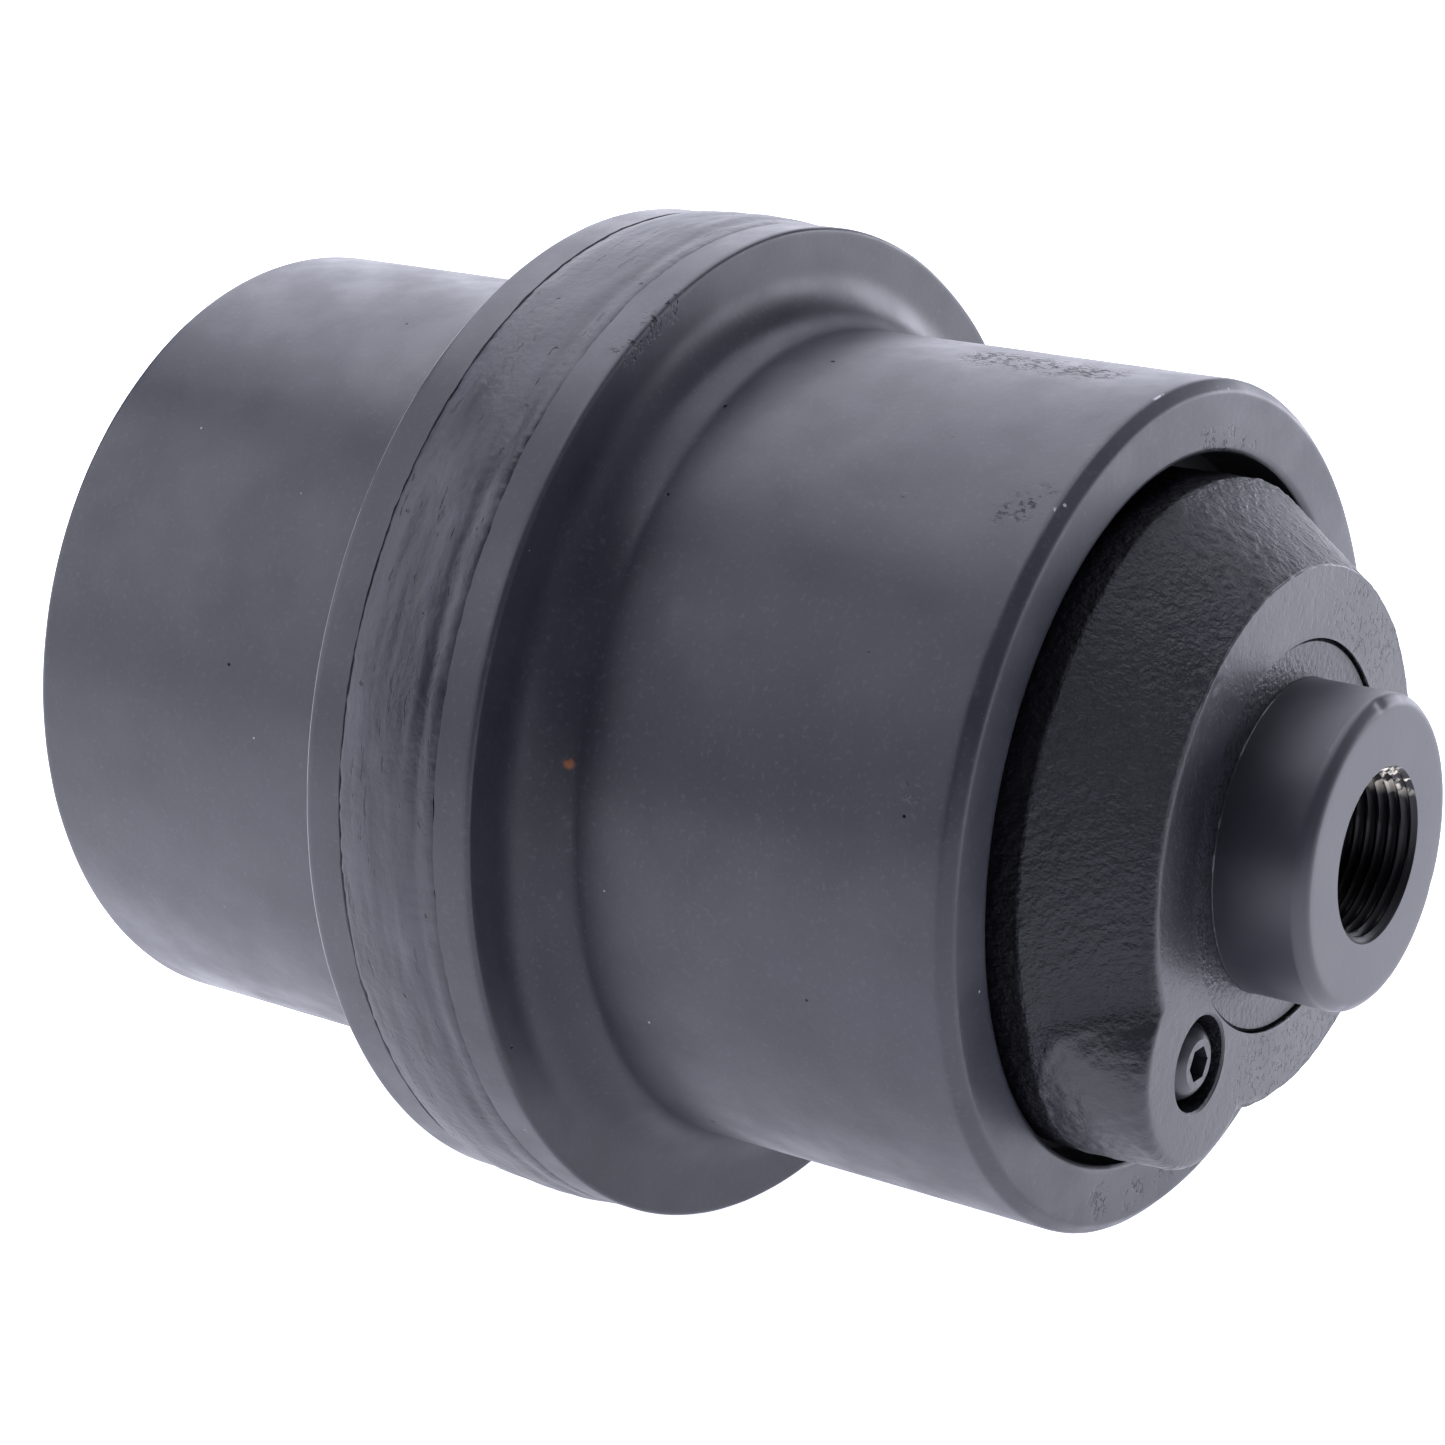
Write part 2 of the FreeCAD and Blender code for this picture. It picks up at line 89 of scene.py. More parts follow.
# ---- weld ----
WELD_HALF_WIDTH = 7.6
WELD_ROOT_HALF_WIDTH = 1.5
WELD_ROOT_RADIUS = 58.5
WELD_CROWN = 0.6
WELD_TOP_RADIUS = 68.68
WELD_TOE_SHARE = 0.14
WELD_REAR_TOE_GAP = 0.14
WELD_FRONT_TOE_GAP = 0.02
WELD_TOE_DIP = 0.16
WELD_HOLLOW_SHARE = 0.66
WELD_HOLLOW_WIDTH = 0.13
WELD_HOLLOW_DEPTH = 0.22
WELD_SEGMENTS = 1600
WELD_TOE_ROWS = 13
WELD_MIDDLE_ROWS = 33
WELD_EDGE_LAYERS = [(9.0, 0.14), (2.4, 0.13), (0.9, 0.17)]
WELD_WAVE_LAYERS = [(16.0, 0.16), (5.0, 0.10)]
WELD_STREAK_LAYERS = [(3.0, 0.08), (1.3, 0.05)]
WELD_STREAK_STRETCH = (0.25, 1.2, 0.25)
WELD_SEEDS = {"edge": 11, "waves": 21, "streaks": 31}

# ---- shaft ----
SHAFT_RADIUS = 25.0
SHAFT_SHOULDER_OUT = 88.9
SHAFT_SHOULDER_CHAMFER = 0.5
SHAFT_WAIST_RADIUS = 24.0
SHAFT_WAIST_HALF_WIDTH = 14.0
JOURNAL_RADIUS = 20.0
JOURNAL_END_OUT = 101.3
JOURNAL_CHAMFER = 1.2
JOURNAL_DINGS = ((178.0, 1.0, 0.40), (298.0, 1.0, 0.35), (196.0, 0.8, 0.15), (20.0, 0.9, 0.15))
THREAD_MINOR_RADIUS = 10.19
THREAD_MAJOR_RADIUS = 11.0
THREAD_PITCH = 1.5
THREAD_CUT_DEPTH = 22.0
THREAD_HOLE_DEPTH = 38.0
THREAD_MOUTH_CHAMFER = 0.7
DRILL_POINT_LENGTH = 6.1
SHAFT_SEGMENTS = 256

# ---- collar ----
COLLAR_FACE_OUT = 89.4
COLLAR_FACE_RADIUS = 34.0
COLLAR_CONE_BASE_OUT = 76.0
COLLAR_RIM_RADIUS = 43.1
COLLAR_SLOPE = (COLLAR_RIM_RADIUS - COLLAR_FACE_RADIUS) / (COLLAR_FACE_OUT - COLLAR_CONE_BASE_OUT)
COLLAR_RIM_END_OUT = 66.0
COLLAR_HUB_RADIUS = 29.7
COLLAR_HUB_END_OUT = 56.3
COLLAR_CAVITY_FLOOR_OUT = 74.0
COLLAR_SEAT_BACK_OUT = 73.0
COLLAR_CRISP_EDGE = 0.35
COLLAR_SOFT_EDGE = 1.5
COLLAR_SOFT_FROM_DEG = 10.0
COLLAR_SOFT_TO_DEG = 125.0
COLLAR_SOFT_FADE_DEG = 12.0
COLLAR_SCAR_DEG = 139.0
COLLAR_SCAR_HALF_DEG = 7.0
COLLAR_SEGMENTS = 720
COLLAR_ROUGH_LAYERS = [(7.0, 0.10), (2.3, 0.06), (1.1, 0.11)]
COLLAR_CHIP_LAYERS = [(2.4, 0.45), (1.2, 0.25)]
COLLAR_SEEDS = {"front": 31, "rear": 37}
LOBE_ANGLE_DEG = 43.2
LOBE_OFFSET = 31.0
LOBE_RADIUS = 13.9
LOBE_BLEND_RADIUS = 4.5
LOBE_SHOULDER_DEG = 12.8
LOBE_DRAFT_DEG_PER_MM = 1.0
LOBE_INNER_OUT = 70.0
FILLER_OFFSET = 31.7
FILLER_RADIUS = 6.1
FILLER_DEPTH = 4.5
FILLER_DRILL_RADIUS = 3.0
STUB_ANGLE_DEG = 59.0
STUB_OFFSET = 38.5
STUB_RADIUS = 2.9
STUB_END_OUT = 89.2
PIN_OUT = 81.0
PIN_RADIUS = 3.0


# ---- noise ----

def value_noise(points, cell, seed):
    """Smooth noise from -1 to 1, with one random value for each corner of a lattice of cells."""
    table = np.random.default_rng(seed).uniform(-1, 1, (NOISE_TABLE,) * 3)
    scaled = points / cell
    low = np.floor(scaled).astype(int)
    part = scaled - low
    part = part * part * (3 - 2 * part)
    total = np.zeros(len(points))
    for corner in itertools.product((0, 1), repeat=3):
        index = (low + corner) % NOISE_TABLE
        weight = np.prod(np.where(corner, part, 1 - part), axis=1)
        total += weight * table[index[:, 0], index[:, 1], index[:, 2]]
    return total


def layered_noise(points, layers, seed):
    """Sum of noises; each layer is (cell, height)."""
    total = np.zeros(len(points))
    for number, (cell, height) in enumerate(layers):
        total += height * value_noise(points, cell, seed + number)
    return total


# ---- profiles ----

def sampled(corners, steps):
    """Points along straight runs between corners, each run cut into pieces of about its step."""
    points = []
    for start, end, step in zip(corners, corners[1:], steps):
        start = np.array(start, float)
        end = np.array(end, float)
        count = max(1, round(np.linalg.norm(end - start) / step))
        points += [start + (end - start) * k / count for k in range(count)]
    points.append(np.array(corners[-1], float))
    return points


def softened(before, corner, after, reach):
    """Points of a small curve that replaces a corner, starting and ending a reach away from it."""
    before, corner, after = (np.array(place, float) for place in (before, corner, after))
    start = corner + (before - corner) * reach / np.linalg.norm(before - corner)
    end = corner + (after - corner) * reach / np.linalg.norm(after - corner)
    return [(1 - t) ** 2 * start + 2 * t * (1 - t) * corner + t ** 2 * end for t in np.linspace(0, 1, 5)]


def arc(centre, radius, start_deg, end_deg, count):
    """Points along an arc in (out, radius), both ends included; 0 degrees points out."""
    angles = np.radians(np.linspace(start_deg, end_deg, count))
    return [np.array(centre) + radius * np.array((math.cos(a), math.sin(a))) for a in angles]


# ---- meshes ----

def make_object(name, points, faces, material):
    """A mesh object from points in millimetres."""
    mesh = bpy.data.meshes.new(name)
    mesh.from_pydata((np.asarray(points) * MM).tolist(), [], faces)
    mesh.validate()
    mesh.update()
    piece = bpy.data.objects.new(name, mesh)
    bpy.context.scene.collection.objects.link(piece)
    if material is not None:
        mesh.materials.append(material)
    return piece


def grid_faces(rows, columns, closed):
    """Quads of a grid that closes across its columns, and across its rows too if closed."""
    faces = []
    for row in range(rows if closed else rows - 1):
        here = row * columns
        there = (row + 1) % rows * columns
        for column in range(columns):
            beside = (column + 1) % columns
            faces.append((here + column, here + beside, there + beside, there + column))
    return faces


def spin(outs, radii, angles):
    """Points of a turned surface at the front end; angles run from straight down towards -X."""
    x = -radii * np.sin(angles)
    z = -radii * np.cos(angles)
    return np.stack([x, -outs, z], axis=-1).reshape(-1, 3)


def spin_grid(profile, segments):
    """Out, radius and angle of every point of a turned grid, as flat arrays."""
    profile = np.array(profile)
    angles = np.arange(segments) * (2 * math.pi / segments)
    outs = np.repeat(profile[:, 0], segments)
    radii = np.repeat(profile[:, 1], segments)
    return outs, radii, np.tile(angles, len(profile))


def at_rear(piece):
    """Turns a piece built at the front half a turn about Z, to stand at the rear."""
    points = np.zeros(len(piece.data.vertices) * 3)
    piece.data.vertices.foreach_get("co", points)
    points = points.reshape(-1, 3) * (-1, -1, 1)
    piece.data.vertices.foreach_set("co", points.ravel())
    piece.data.update()
    return piece


def shade_smooth(piece, sharp_deg):
    """Smooth shading that breaks at edges sharper than the angle."""
    piece.data.shade_smooth()
    piece.data.set_sharp_from_angle(angle=math.radians(sharp_deg))


def combine(piece, tool, operation):
    """Cuts the tool's solid out of the piece, or joins it on, and removes the tool."""
    modifier = piece.modifiers.new("combine", "BOOLEAN")
    modifier.operation = operation
    modifier.solver = "MANIFOLD"
    modifier.object = tool
    apply_modifiers(piece)
    bpy.data.objects.remove(tool)


def apply_modifiers(piece):
    """Replaces a piece's mesh by what its modifiers make of it."""
    bpy.context.view_layer.update()
    result = bpy.data.meshes.new_from_object(piece.evaluated_get(bpy.context.evaluated_depsgraph_get()))
    piece.modifiers.clear()
    piece.data = result


def rod(name, radii, places, segments=96):
    """Closed turned solid through (place, radius) steps along a line from one point to another."""
    start, end = (np.array(place, float) for place in places)
    axis = (end - start) / np.linalg.norm(end - start)
    side = np.cross(axis, (0.3, 0.5, 0.8))
    side /= np.linalg.norm(side)
    other = np.cross(axis, side)
    angles = np.arange(segments) * (2 * math.pi / segments)
    points = []
    for distance, radius in radii:
        for angle in angles:
            spoke = math.cos(angle) * side + math.sin(angle) * other
            points.append(start + axis * distance + radius * spoke)
    faces = grid_faces(len(radii), segments, closed=False)
    faces.append(tuple(reversed(range(segments))))
    last = (len(radii) - 1) * segments
    faces.append(tuple(range(last, last + segments)))
    return make_object(name, points, faces, None)


# ---- materials ----

class Material:
    """A node material under construction, with short calls for the nodes used here."""

    def __init__(self, name):
        self.material = bpy.data.materials.new(name)
        self.material.use_nodes = True
        self.tree = self.material.node_tree
        self.shader = self.tree.nodes["Principled BSDF"]
        self.place = self.node("ShaderNodeTexCoord").outputs["Object"]

    def node(self, kind, **values):
        made = self.tree.nodes.new(kind)
        for key, value in values.items():
            setattr(made, key, value)
        return made

    def link(self, source, target):
        self.tree.links.new(source, target)

    def feed(self, target, value):
        """Links a socket, or sets a number or colour."""
        if isinstance(value, bpy.types.NodeSocket):
            self.link(value, target)
        else:
            target.default_value = value

    def noise(self, per_metre, detail=4.0, roughness=0.55, stretch=(1, 1, 1)):
        """Noise texture in the object's own space."""
        mapping = self.node("ShaderNodeMapping")
        mapping.inputs["Scale"].default_value = stretch
        self.link(self.place, mapping.inputs["Vector"])
        texture = self.node("ShaderNodeTexNoise")
        texture.inputs["Scale"].default_value = per_metre
        texture.inputs["Detail"].default_value = detail
        texture.inputs["Roughness"].default_value = roughness
        self.link(mapping.outputs["Vector"], texture.inputs["Vector"])
        return texture.outputs["Fac"]

    def spots(self, per_metre, size, share):
        """1 in scattered round spots of a size in cells; only a share of the cells has one."""
        cells = self.node("ShaderNodeTexVoronoi")
        cells.inputs["Scale"].default_value = per_metre
        self.link(self.place, cells.inputs["Vector"])
        split = self.node("ShaderNodeSeparateColor")
        self.link(cells.outputs["Color"], split.inputs["Color"])
        near = self.steps(cells.outputs["Distance"], size, size * 0.55, 0.0, 1.0)
        chosen = self.steps(split.outputs["Red"], share, share * 0.9, 0.0, 1.0)
        return self.math("MULTIPLY", near, chosen)

    def near(self, places, reach):
        """1 at any of the places of the object, in millimetres, fading to 0 at the reach."""
        masks = []
        for place in places:
            distance = self.node("ShaderNodeVectorMath", operation="DISTANCE")
            self.link(self.place, distance.inputs[0])
            distance.inputs[1].default_value = [value * MM for value in place]
            masks.append(self.along(distance.outputs["Value"], reach, reach * 0.3))
        total = masks[0]
        for mask in masks[1:]:
            total = self.math("MAXIMUM", total, mask)
        return total

    def product(self, *factors):
        """All the factors multiplied together."""
        total = factors[0]
        for factor in factors[1:]:
            total = self.math("MULTIPLY", total, factor)
        return total

    def steps(self, value, low, high, at_low=0.0, at_high=1.0):
        """Smooth step between two values of an input, whichever of them is larger."""
        node = self.node("ShaderNodeMapRange", interpolation_type="SMOOTHSTEP")
        if low > high:
            low, high, at_low, at_high = high, low, at_high, at_low
        self.link(value, node.inputs["Value"])
        node.inputs["From Min"].default_value = low
        node.inputs["From Max"].default_value = high
        node.inputs["To Min"].default_value = at_low
        node.inputs["To Max"].default_value = at_high
        return node.outputs["Result"]

    def along(self, distance, low, high):
        """Smooth step between two lengths in millimetres, whichever of them is larger."""
        return self.steps(distance, low * MM, high * MM)

    def math(self, operation, first, second=0.0):
        node = self.node("ShaderNodeMath", operation=operation)
        self.feed(node.inputs[0], first)
        self.feed(node.inputs[1], second)
        return node.outputs["Value"]

    def mix(self, share, first, second):
        """Colour mix."""
        node = self.node("ShaderNodeMix", data_type="RGBA")
        self.feed(node.inputs["Factor"], share)
        self.feed(node.inputs["A"], first)
        self.feed(node.inputs["B"], second)
        return node.outputs["Result"]

    def height(self, low, high):
        """Smooth step between two heights above the axis, in millimetres."""
        split = self.node("ShaderNodeSeparateXYZ")
        self.link(self.place, split.inputs["Vector"])
        return self.along(split.outputs["Z"], low, high)

    def axis_split(self):
        """Distance from the middle along the axis, and distance from the axis, in metres."""
        split = self.node("ShaderNodeSeparateXYZ")
        self.link(self.place, split.inputs["Vector"])
        squares = [self.math("MULTIPLY", split.outputs[k], split.outputs[k]) for k in ("X", "Z")]
        radius = self.math("SQRT", self.math("ADD", *squares))
        return self.math("ABSOLUTE", split.outputs["Y"]), radius

    def bump(self, height, distance, strength=1.0, under=None):
        node = self.node("ShaderNodeBump")
        node.inputs["Strength"].default_value = strength
        node.inputs["Distance"].default_value = distance
        self.link(height, node.inputs["Height"])
        if under is not None:
            self.link(under, node.inputs["Normal"])
        return node.outputs["Normal"]

    def finish(self, colour, roughness, normal, metallic=0.0, sheen=0.5):
        """Connects the shader; the sheen is how strongly the surface mirrors, 0.5 for clean gloss."""
        self.feed(self.shader.inputs["Base Color"], colour)
        self.feed(self.shader.inputs["Specular IOR Level"], sheen)
        self.feed(self.shader.inputs["Roughness"], roughness)
        self.feed(self.shader.inputs["Metallic"], metallic)
        if normal is not None:
            self.link(normal, self.shader.inputs["Normal"])
        return self.material


# ---- marks in the paint ----

def at_front(radius, angle_deg, out):
    """Point at the front end, at an angle from straight down towards -X; a rear point has out < 0."""
    angle = math.radians(angle_deg)
    return (-radius * math.sin(angle), -out, -radius * math.cos(angle))


DENSE_PIT_PLACES = [at_front(TREAD_RADIUS, 180, out) for out in (45, 50, 55, 60)]
THIN_PIT_PLACES = [at_front(TREAD_RADIUS, 145, 67), at_front(TREAD_RADIUS, 147, 69)]
THIN_PIT_PLACES += [at_front(FLANGE_RADIUS, angle, 13) for angle in (150, 154, 158)]
THIN_PIT_PLACES += [at_front(50.5, angle, SHELL_HALF_WIDTH) for angle in (350, 0, 9, 20)]
THIN_PIT_PLACES += [at_front(46.5, angle, SHELL_HALF_WIDTH) for angle in (185, 192, 198)]
TREAD_MARK_PLACES = [at_front(TREAD_RADIUS, angle, out) for angle, out in ((156, 53), (144, 53), (107, 67))]
EDGE_GLINT_PLACES = [
    at_front(TREAD_RADIUS, angle, SHELL_HALF_WIDTH - TREAD_EDGE_BEVEL) for angle in (173.2, 174.2, 145.5)]
RUST_PLACES = [at_front(55.2, 101.0, 18.3)]
CAST_PIT_PLACES = [
    at_front(radius, angle, COLLAR_FACE_OUT)
    for radius, angle in ((30, 10), (31, 352), (29, 335), (28, 212), (31, 225))]


# ---- finishes ----

PIT_COLOUR = (0.003, 0.003, 0.004, 1)
CAST_PIT_COLOUR = (0.004, 0.004, 0.005, 1)
WELD_PIT_COLOUR = (0.006, 0.006, 0.007, 1)
# Near-black colours painted as shade in the shell's mouth and round the collar's rim.
SHELL_RECESS_SHADE_COLOUR = (0.008, 0.008, 0.010, 1)
COLLAR_GAP_SHADE_COLOUR = (0.006, 0.006, 0.008, 1)
DUST_COLOUR = (0.40, 0.40, 0.42, 1)
EDGE_WEAR_AND_HIGHLIGHT_COLOUR = (0.55, 0.56, 0.60, 1)
RUST_COLOUR = (0.22, 0.075, 0.02, 1)
HOLE_SHADE_STEEL_COLOUR = (0.004, 0.004, 0.005, 1)
THREAD_HIGHLIGHT_COLOUR = (0.80, 0.74, 0.62, 1)
CLEAN_GLOSS = 0.5
# Painted shade: the front half mirrors less than the rear, to show darker.
FRONT_SHADE_GLOSS = 0.41


def paint_colour(m, per_metre, dark, light):
    """Cloudy dark blue-grey paint, and how cloudy it is at each point."""
    cloud = m.noise(per_metre, detail=6.0, roughness=0.6)
    return m.mix(m.steps(cloud, 0.3, 0.7), dark, light), cloud


def painted_turning(name, rim_highlight, gloss):
    """Thin satin paint over turned steel, with clusters of pits, dust, a rust spot, edge chips painted
    light as glints, painted mouth shade and, on the rear, a painted rim highlight.
    """
    m = Material(name)
    out, radius = m.axis_split()
    colour = paint_colour(m, 26.0, (0.014, 0.0148, 0.0205, 1), (0.024, 0.0254, 0.0340, 1))[0]
    speckle = m.steps(m.noise(1300.0, detail=3.0, roughness=0.7), 0.54, 0.70)
    colour = m.mix(m.math("MULTIPLY", speckle, 0.30), colour, (0.060, 0.062, 0.076, 1))
    patchy = m.steps(m.noise(260.0, detail=2.0), 0.34, 0.44)
    dense = m.math("MULTIPLY", m.near(DENSE_PIT_PLACES, 5.5), patchy)
    thin = m.product(m.near(THIN_PIT_PLACES, 3.6), m.steps(m.noise(420.0, detail=2.0), 0.46, 0.58), 0.6)
    ragged = m.steps(m.noise(1500.0, detail=4.0, roughness=0.6, stretch=(1, 0.6, 1)), 0.50, 0.56)
    clusters = m.math("MULTIPLY", m.math("MAXIMUM", dense, thin), ragged)
    pits = m.math("MAXIMUM", clusters, m.spots(300.0, 0.10, 0.035))
    colour = m.mix(m.math("MULTIPLY", pits, 0.95), colour, PIT_COLOUR)
    dust = m.math("MAXIMUM", m.spots(170.0, 0.05, 0.06), m.spots(420.0, 0.09, 0.03))
    colour = m.mix(m.math("MULTIPLY", dust, 0.6), colour, DUST_COLOUR)
    rust = m.math("MULTIPLY", m.near(RUST_PLACES, 1.0), m.steps(m.noise(900.0), 0.35, 0.55))
    colour = m.mix(m.math("MULTIPLY", rust, 0.7), colour, RUST_COLOUR)
    # Chips in the tread edge, painted light grey as the glints of their bare metal.
    tread_edge = m.product(
        m.along(radius, TREAD_RADIUS - 0.18, TREAD_RADIUS - 0.1),
        m.along(out, SHELL_HALF_WIDTH - 1.8, SHELL_HALF_WIDTH - 1.6))
    edge_wear_and_highlight = m.product(tread_edge, m.near(EDGE_GLINT_PLACES, 1.2), m.steps(m.noise(700.0), 0.44, 0.54))
    # Painted highlight: on the rear half a thin light line runs round the flange's rim, for the rim's
    # reflection of the bright back.
    if rim_highlight:
        rim = m.product(
            m.along(radius, FLANGE_RADIUS - 0.45, FLANGE_RADIUS - 0.25),
            m.along(out, FLANGE_HALF_WIDTH - 0.4, FLANGE_HALF_WIDTH - 0.2))
        edge_wear_and_highlight = m.math("MAXIMUM", edge_wear_and_highlight, m.math("MULTIPLY", rim, m.steps(m.noise(120.0), 0.34, 0.46)))
    colour = m.mix(m.math("MULTIPLY", edge_wear_and_highlight, 0.6), colour, EDGE_WEAR_AND_HIGHLIGHT_COLOUR)
    # Painted shade: the mouth's wall and floor are painted near black and mirror less, for the shade deep
    # in the gap round the collar.
    mouth_shade = m.product(
        m.along(radius, MOUTH_RADIUS + 0.3, MOUTH_RADIUS),
        m.along(out, MOUTH_FLOOR_OUT - 4, MOUTH_FLOOR_OUT - 2))
    colour = m.mix(mouth_shade, colour, SHELL_RECESS_SHADE_COLOUR)
    roughness = m.steps(m.noise(90.0, detail=5.0, roughness=0.6), 0.3, 0.7, 0.32, 0.44)
    # The fillet beside the flange mirrors less, so it shows darker there.
    corner = m.product(
        m.along(radius, TREAD_RADIUS + 8, TREAD_RADIUS + 2.5),
        m.along(out, FLANGE_HALF_WIDTH + 10.9, FLANGE_HALF_WIDTH + 5.4))
    shade_and_dull = m.math("MAXIMUM", m.math("MULTIPLY", mouth_shade, 0.8), m.math("MULTIPLY", corner, 0.45))
    sheen = m.steps(m.math("MAXIMUM", shade_and_dull, pits), 0.0, 1.0, gloss, 0.05)
    ridges = m.steps(m.noise(900.0, detail=3.0, stretch=(1, 0.5, 1)), 0.56, 0.66)
    marks = m.math("MULTIPLY", m.near(TREAD_MARK_PLACES, 2.2), ridges)
    normal = m.bump(m.noise(900.0, detail=3.0), 0.00003, 0.5)
    normal = m.bump(marks, 0.0001, 0.6, normal)
    normal = m.bump(m.math("SUBTRACT", 1.0, pits), 0.0002, 0.9, normal)
    return m.finish(colour, roughness, normal, sheen=sheen)


def painted_weld():
    """The same paint over weld metal: flow marks round the ring and a dirtier, lighter tone."""
    m = Material("painted_weld")
    flow = m.noise(150.0, detail=6.0, roughness=0.65, stretch=(0.35, 1.8, 0.35))
    colour = m.mix(m.steps(flow, 0.3, 0.7), (0.013, 0.0138, 0.0185, 1), (0.036, 0.038, 0.048, 1))
    smear = m.steps(m.noise(60.0, detail=5.0), 0.50, 0.68)
    colour = m.mix(m.math("MULTIPLY", smear, 0.3), colour, (0.072, 0.074, 0.086, 1))
    cracks = m.steps(m.noise(620.0, detail=3.0, roughness=0.5, stretch=(0.3, 1.6, 0.3)), 0.66, 0.70)
    pits = m.math("MAXIMUM", m.math("MULTIPLY", cracks, 0.6), m.spots(520.0, 0.20, 0.05))
    colour = m.mix(m.math("MULTIPLY", pits, 0.7), colour, WELD_PIT_COLOUR)
    roughness = m.steps(flow, 0.3, 0.7, 0.34, 0.46)
    normal = m.bump(flow, 0.0003, 0.4)
    normal = m.bump(m.noise(900.0, detail=4.0), 0.00015, 0.6, normal)
    normal = m.bump(m.math("SUBTRACT", 1.0, pits), 0.0002, 0.8, normal)
    return m.finish(colour, roughness, normal, sheen=0.42)


def painted_casting():
    """Paint over a sand casting: a grainy skin, but smooth and finely pitted on the machined face."""
    m = Material("painted_casting")
    out, radius = m.axis_split()
    face = m.along(out, COLLAR_FACE_OUT - 0.35, COLLAR_FACE_OUT - 0.1)
    colour, cloud = paint_colour(m, 45.0, (0.0075, 0.0080, 0.0110, 1), (0.0135, 0.0143, 0.0190, 1))
    cluster = m.near(CAST_PIT_PLACES, 9.0)
    pits = m.product(face, m.steps(m.noise(1050.0, detail=4.0), 0.55, 0.60), m.math("ADD", cluster, 0.06))
    colour = m.mix(m.math("MINIMUM", m.math("MULTIPLY", pits, 0.8), 1.0), colour, CAST_PIT_COLOUR)
    # Painted shade: the collar's rim below the cone is near black and mirrors less, for the shade in the
    # narrow gap inside the shell's mouth.
    rim_gap_shade = m.along(out, COLLAR_CONE_BASE_OUT - 0.2, COLLAR_CONE_BASE_OUT - 0.6)
    colour = m.mix(rim_gap_shade, colour, COLLAR_GAP_SHADE_COLOUR)
    roughness = m.steps(cloud, 0.25, 0.75, 0.32, 0.42)
    above_cone = m.math("ADD", radius, m.math("MULTIPLY", out, COLLAR_SLOPE))
    cone_edge = COLLAR_FACE_RADIUS + COLLAR_SLOPE * COLLAR_FACE_OUT
    lobe_side = m.along(above_cone, cone_edge + 0.6, cone_edge + 1.8)
    machined = m.steps(m.math("MAXIMUM", face, lobe_side), 0.0, 1.0, 0.26, CLEAN_GLOSS)
    sheen = m.math("MULTIPLY", machined, m.math("SUBTRACT", 1.0, m.math("MULTIPLY", rim_gap_shade, 0.7)))
    smooth = m.math("MAXIMUM", m.math("MULTIPLY", face, 0.94), m.math("MULTIPLY", lobe_side, 0.72))
    cast = m.math("SUBTRACT", 1.0, smooth)
    grain = m.math("MULTIPLY", m.noise(1250.0, detail=4.0, roughness=0.6, stretch=(1, 0.8, 1)), cast)
    normal = m.bump(grain, 0.0009, 0.7)
    normal = m.bump(m.math("SUBTRACT", 1.0, pits), 0.0003, 0.8, normal)
    return m.finish(colour, roughness, normal, sheen=sheen)


def shaft_finish():
    """Painted journals and rough shoulders; the threads are near-black steel painted with the hole's shade,
    with a painted highlight on their upper turns near the mouth.
    """
    m = Material("shaft_finish")
    out, radius = m.axis_split()
    in_hole = m.product(
        m.along(radius, THREAD_MAJOR_RADIUS + 0.25, THREAD_MAJOR_RADIUS + 0.05), m.along(out, 40.0, 45.0))
    paint, cloud = paint_colour(m, 36.0, (0.014, 0.0150, 0.0200, 1), (0.022, 0.0235, 0.0300, 1))
    shoulder = m.product(
        m.along(out, SHAFT_SHOULDER_OUT + 0.3, SHAFT_SHOULDER_OUT + 0.1),
        m.along(radius, JOURNAL_RADIUS - 0.1, JOURNAL_RADIUS + 0.1),
        m.along(out, SHAFT_SHOULDER_OUT - 8.9, SHAFT_SHOULDER_OUT - 3.9))
    stipple = m.noise(1000.0, detail=4.0, roughness=0.6)
    holes = m.product(m.steps(stipple, 0.50, 0.56), m.steps(m.noise(90.0), 0.38, 0.52))
    paint = m.mix(m.product(shoulder, holes, 0.8), paint, CAST_PIT_COLOUR)
    # Painted highlight: a light broken line at the journal's base, where the radius beside the shoulder
    # glints.
    journal_base_highlight = m.product(
        m.along(out, SHAFT_SHOULDER_OUT + 0.02, SHAFT_SHOULDER_OUT + 0.06),
        m.along(out, SHAFT_SHOULDER_OUT + 0.4, SHAFT_SHOULDER_OUT + 0.2),
        m.steps(m.noise(260.0), 0.52, 0.60), 0.15)
    paint = m.mix(journal_base_highlight, paint, (0.50, 0.50, 0.53, 1))
    # Painted highlight: light, metallic marks on the thread's upper turns near the mouth, where the top
    # light glints.
    near_mouth = m.along(out, JOURNAL_END_OUT - 13.3, JOURNAL_END_OUT - 7.3)
    glint = m.product(m.height(4.0, 8.5), near_mouth, m.steps(m.noise(420.0, detail=4.0), 0.47, 0.56))
    steel = m.mix(glint, HOLE_SHADE_STEEL_COLOUR, THREAD_HIGHLIGHT_COLOUR)
    colour = m.mix(in_hole, paint, steel)
    metallic = m.math("MULTIPLY", in_hole, glint)
    roughness = m.steps(cloud, 0.25, 0.75, 0.36, 0.44)
    # Painted shade: the rest of the hole is near black and mirrors little.
    hole_shade = m.math("MULTIPLY", in_hole, m.math("SUBTRACT", 1.0, glint))
    sheen = m.steps(hole_shade, 0.0, 1.0, CLEAN_GLOSS, 0.2)
    normal = m.bump(m.noise(900.0, detail=3.0), 0.00003, 0.5)
    normal = m.bump(m.math("MULTIPLY", shoulder, stipple), 0.0005, 0.5, normal)
    return m.finish(colour, roughness, normal, metallic=metallic, sheen=sheen)


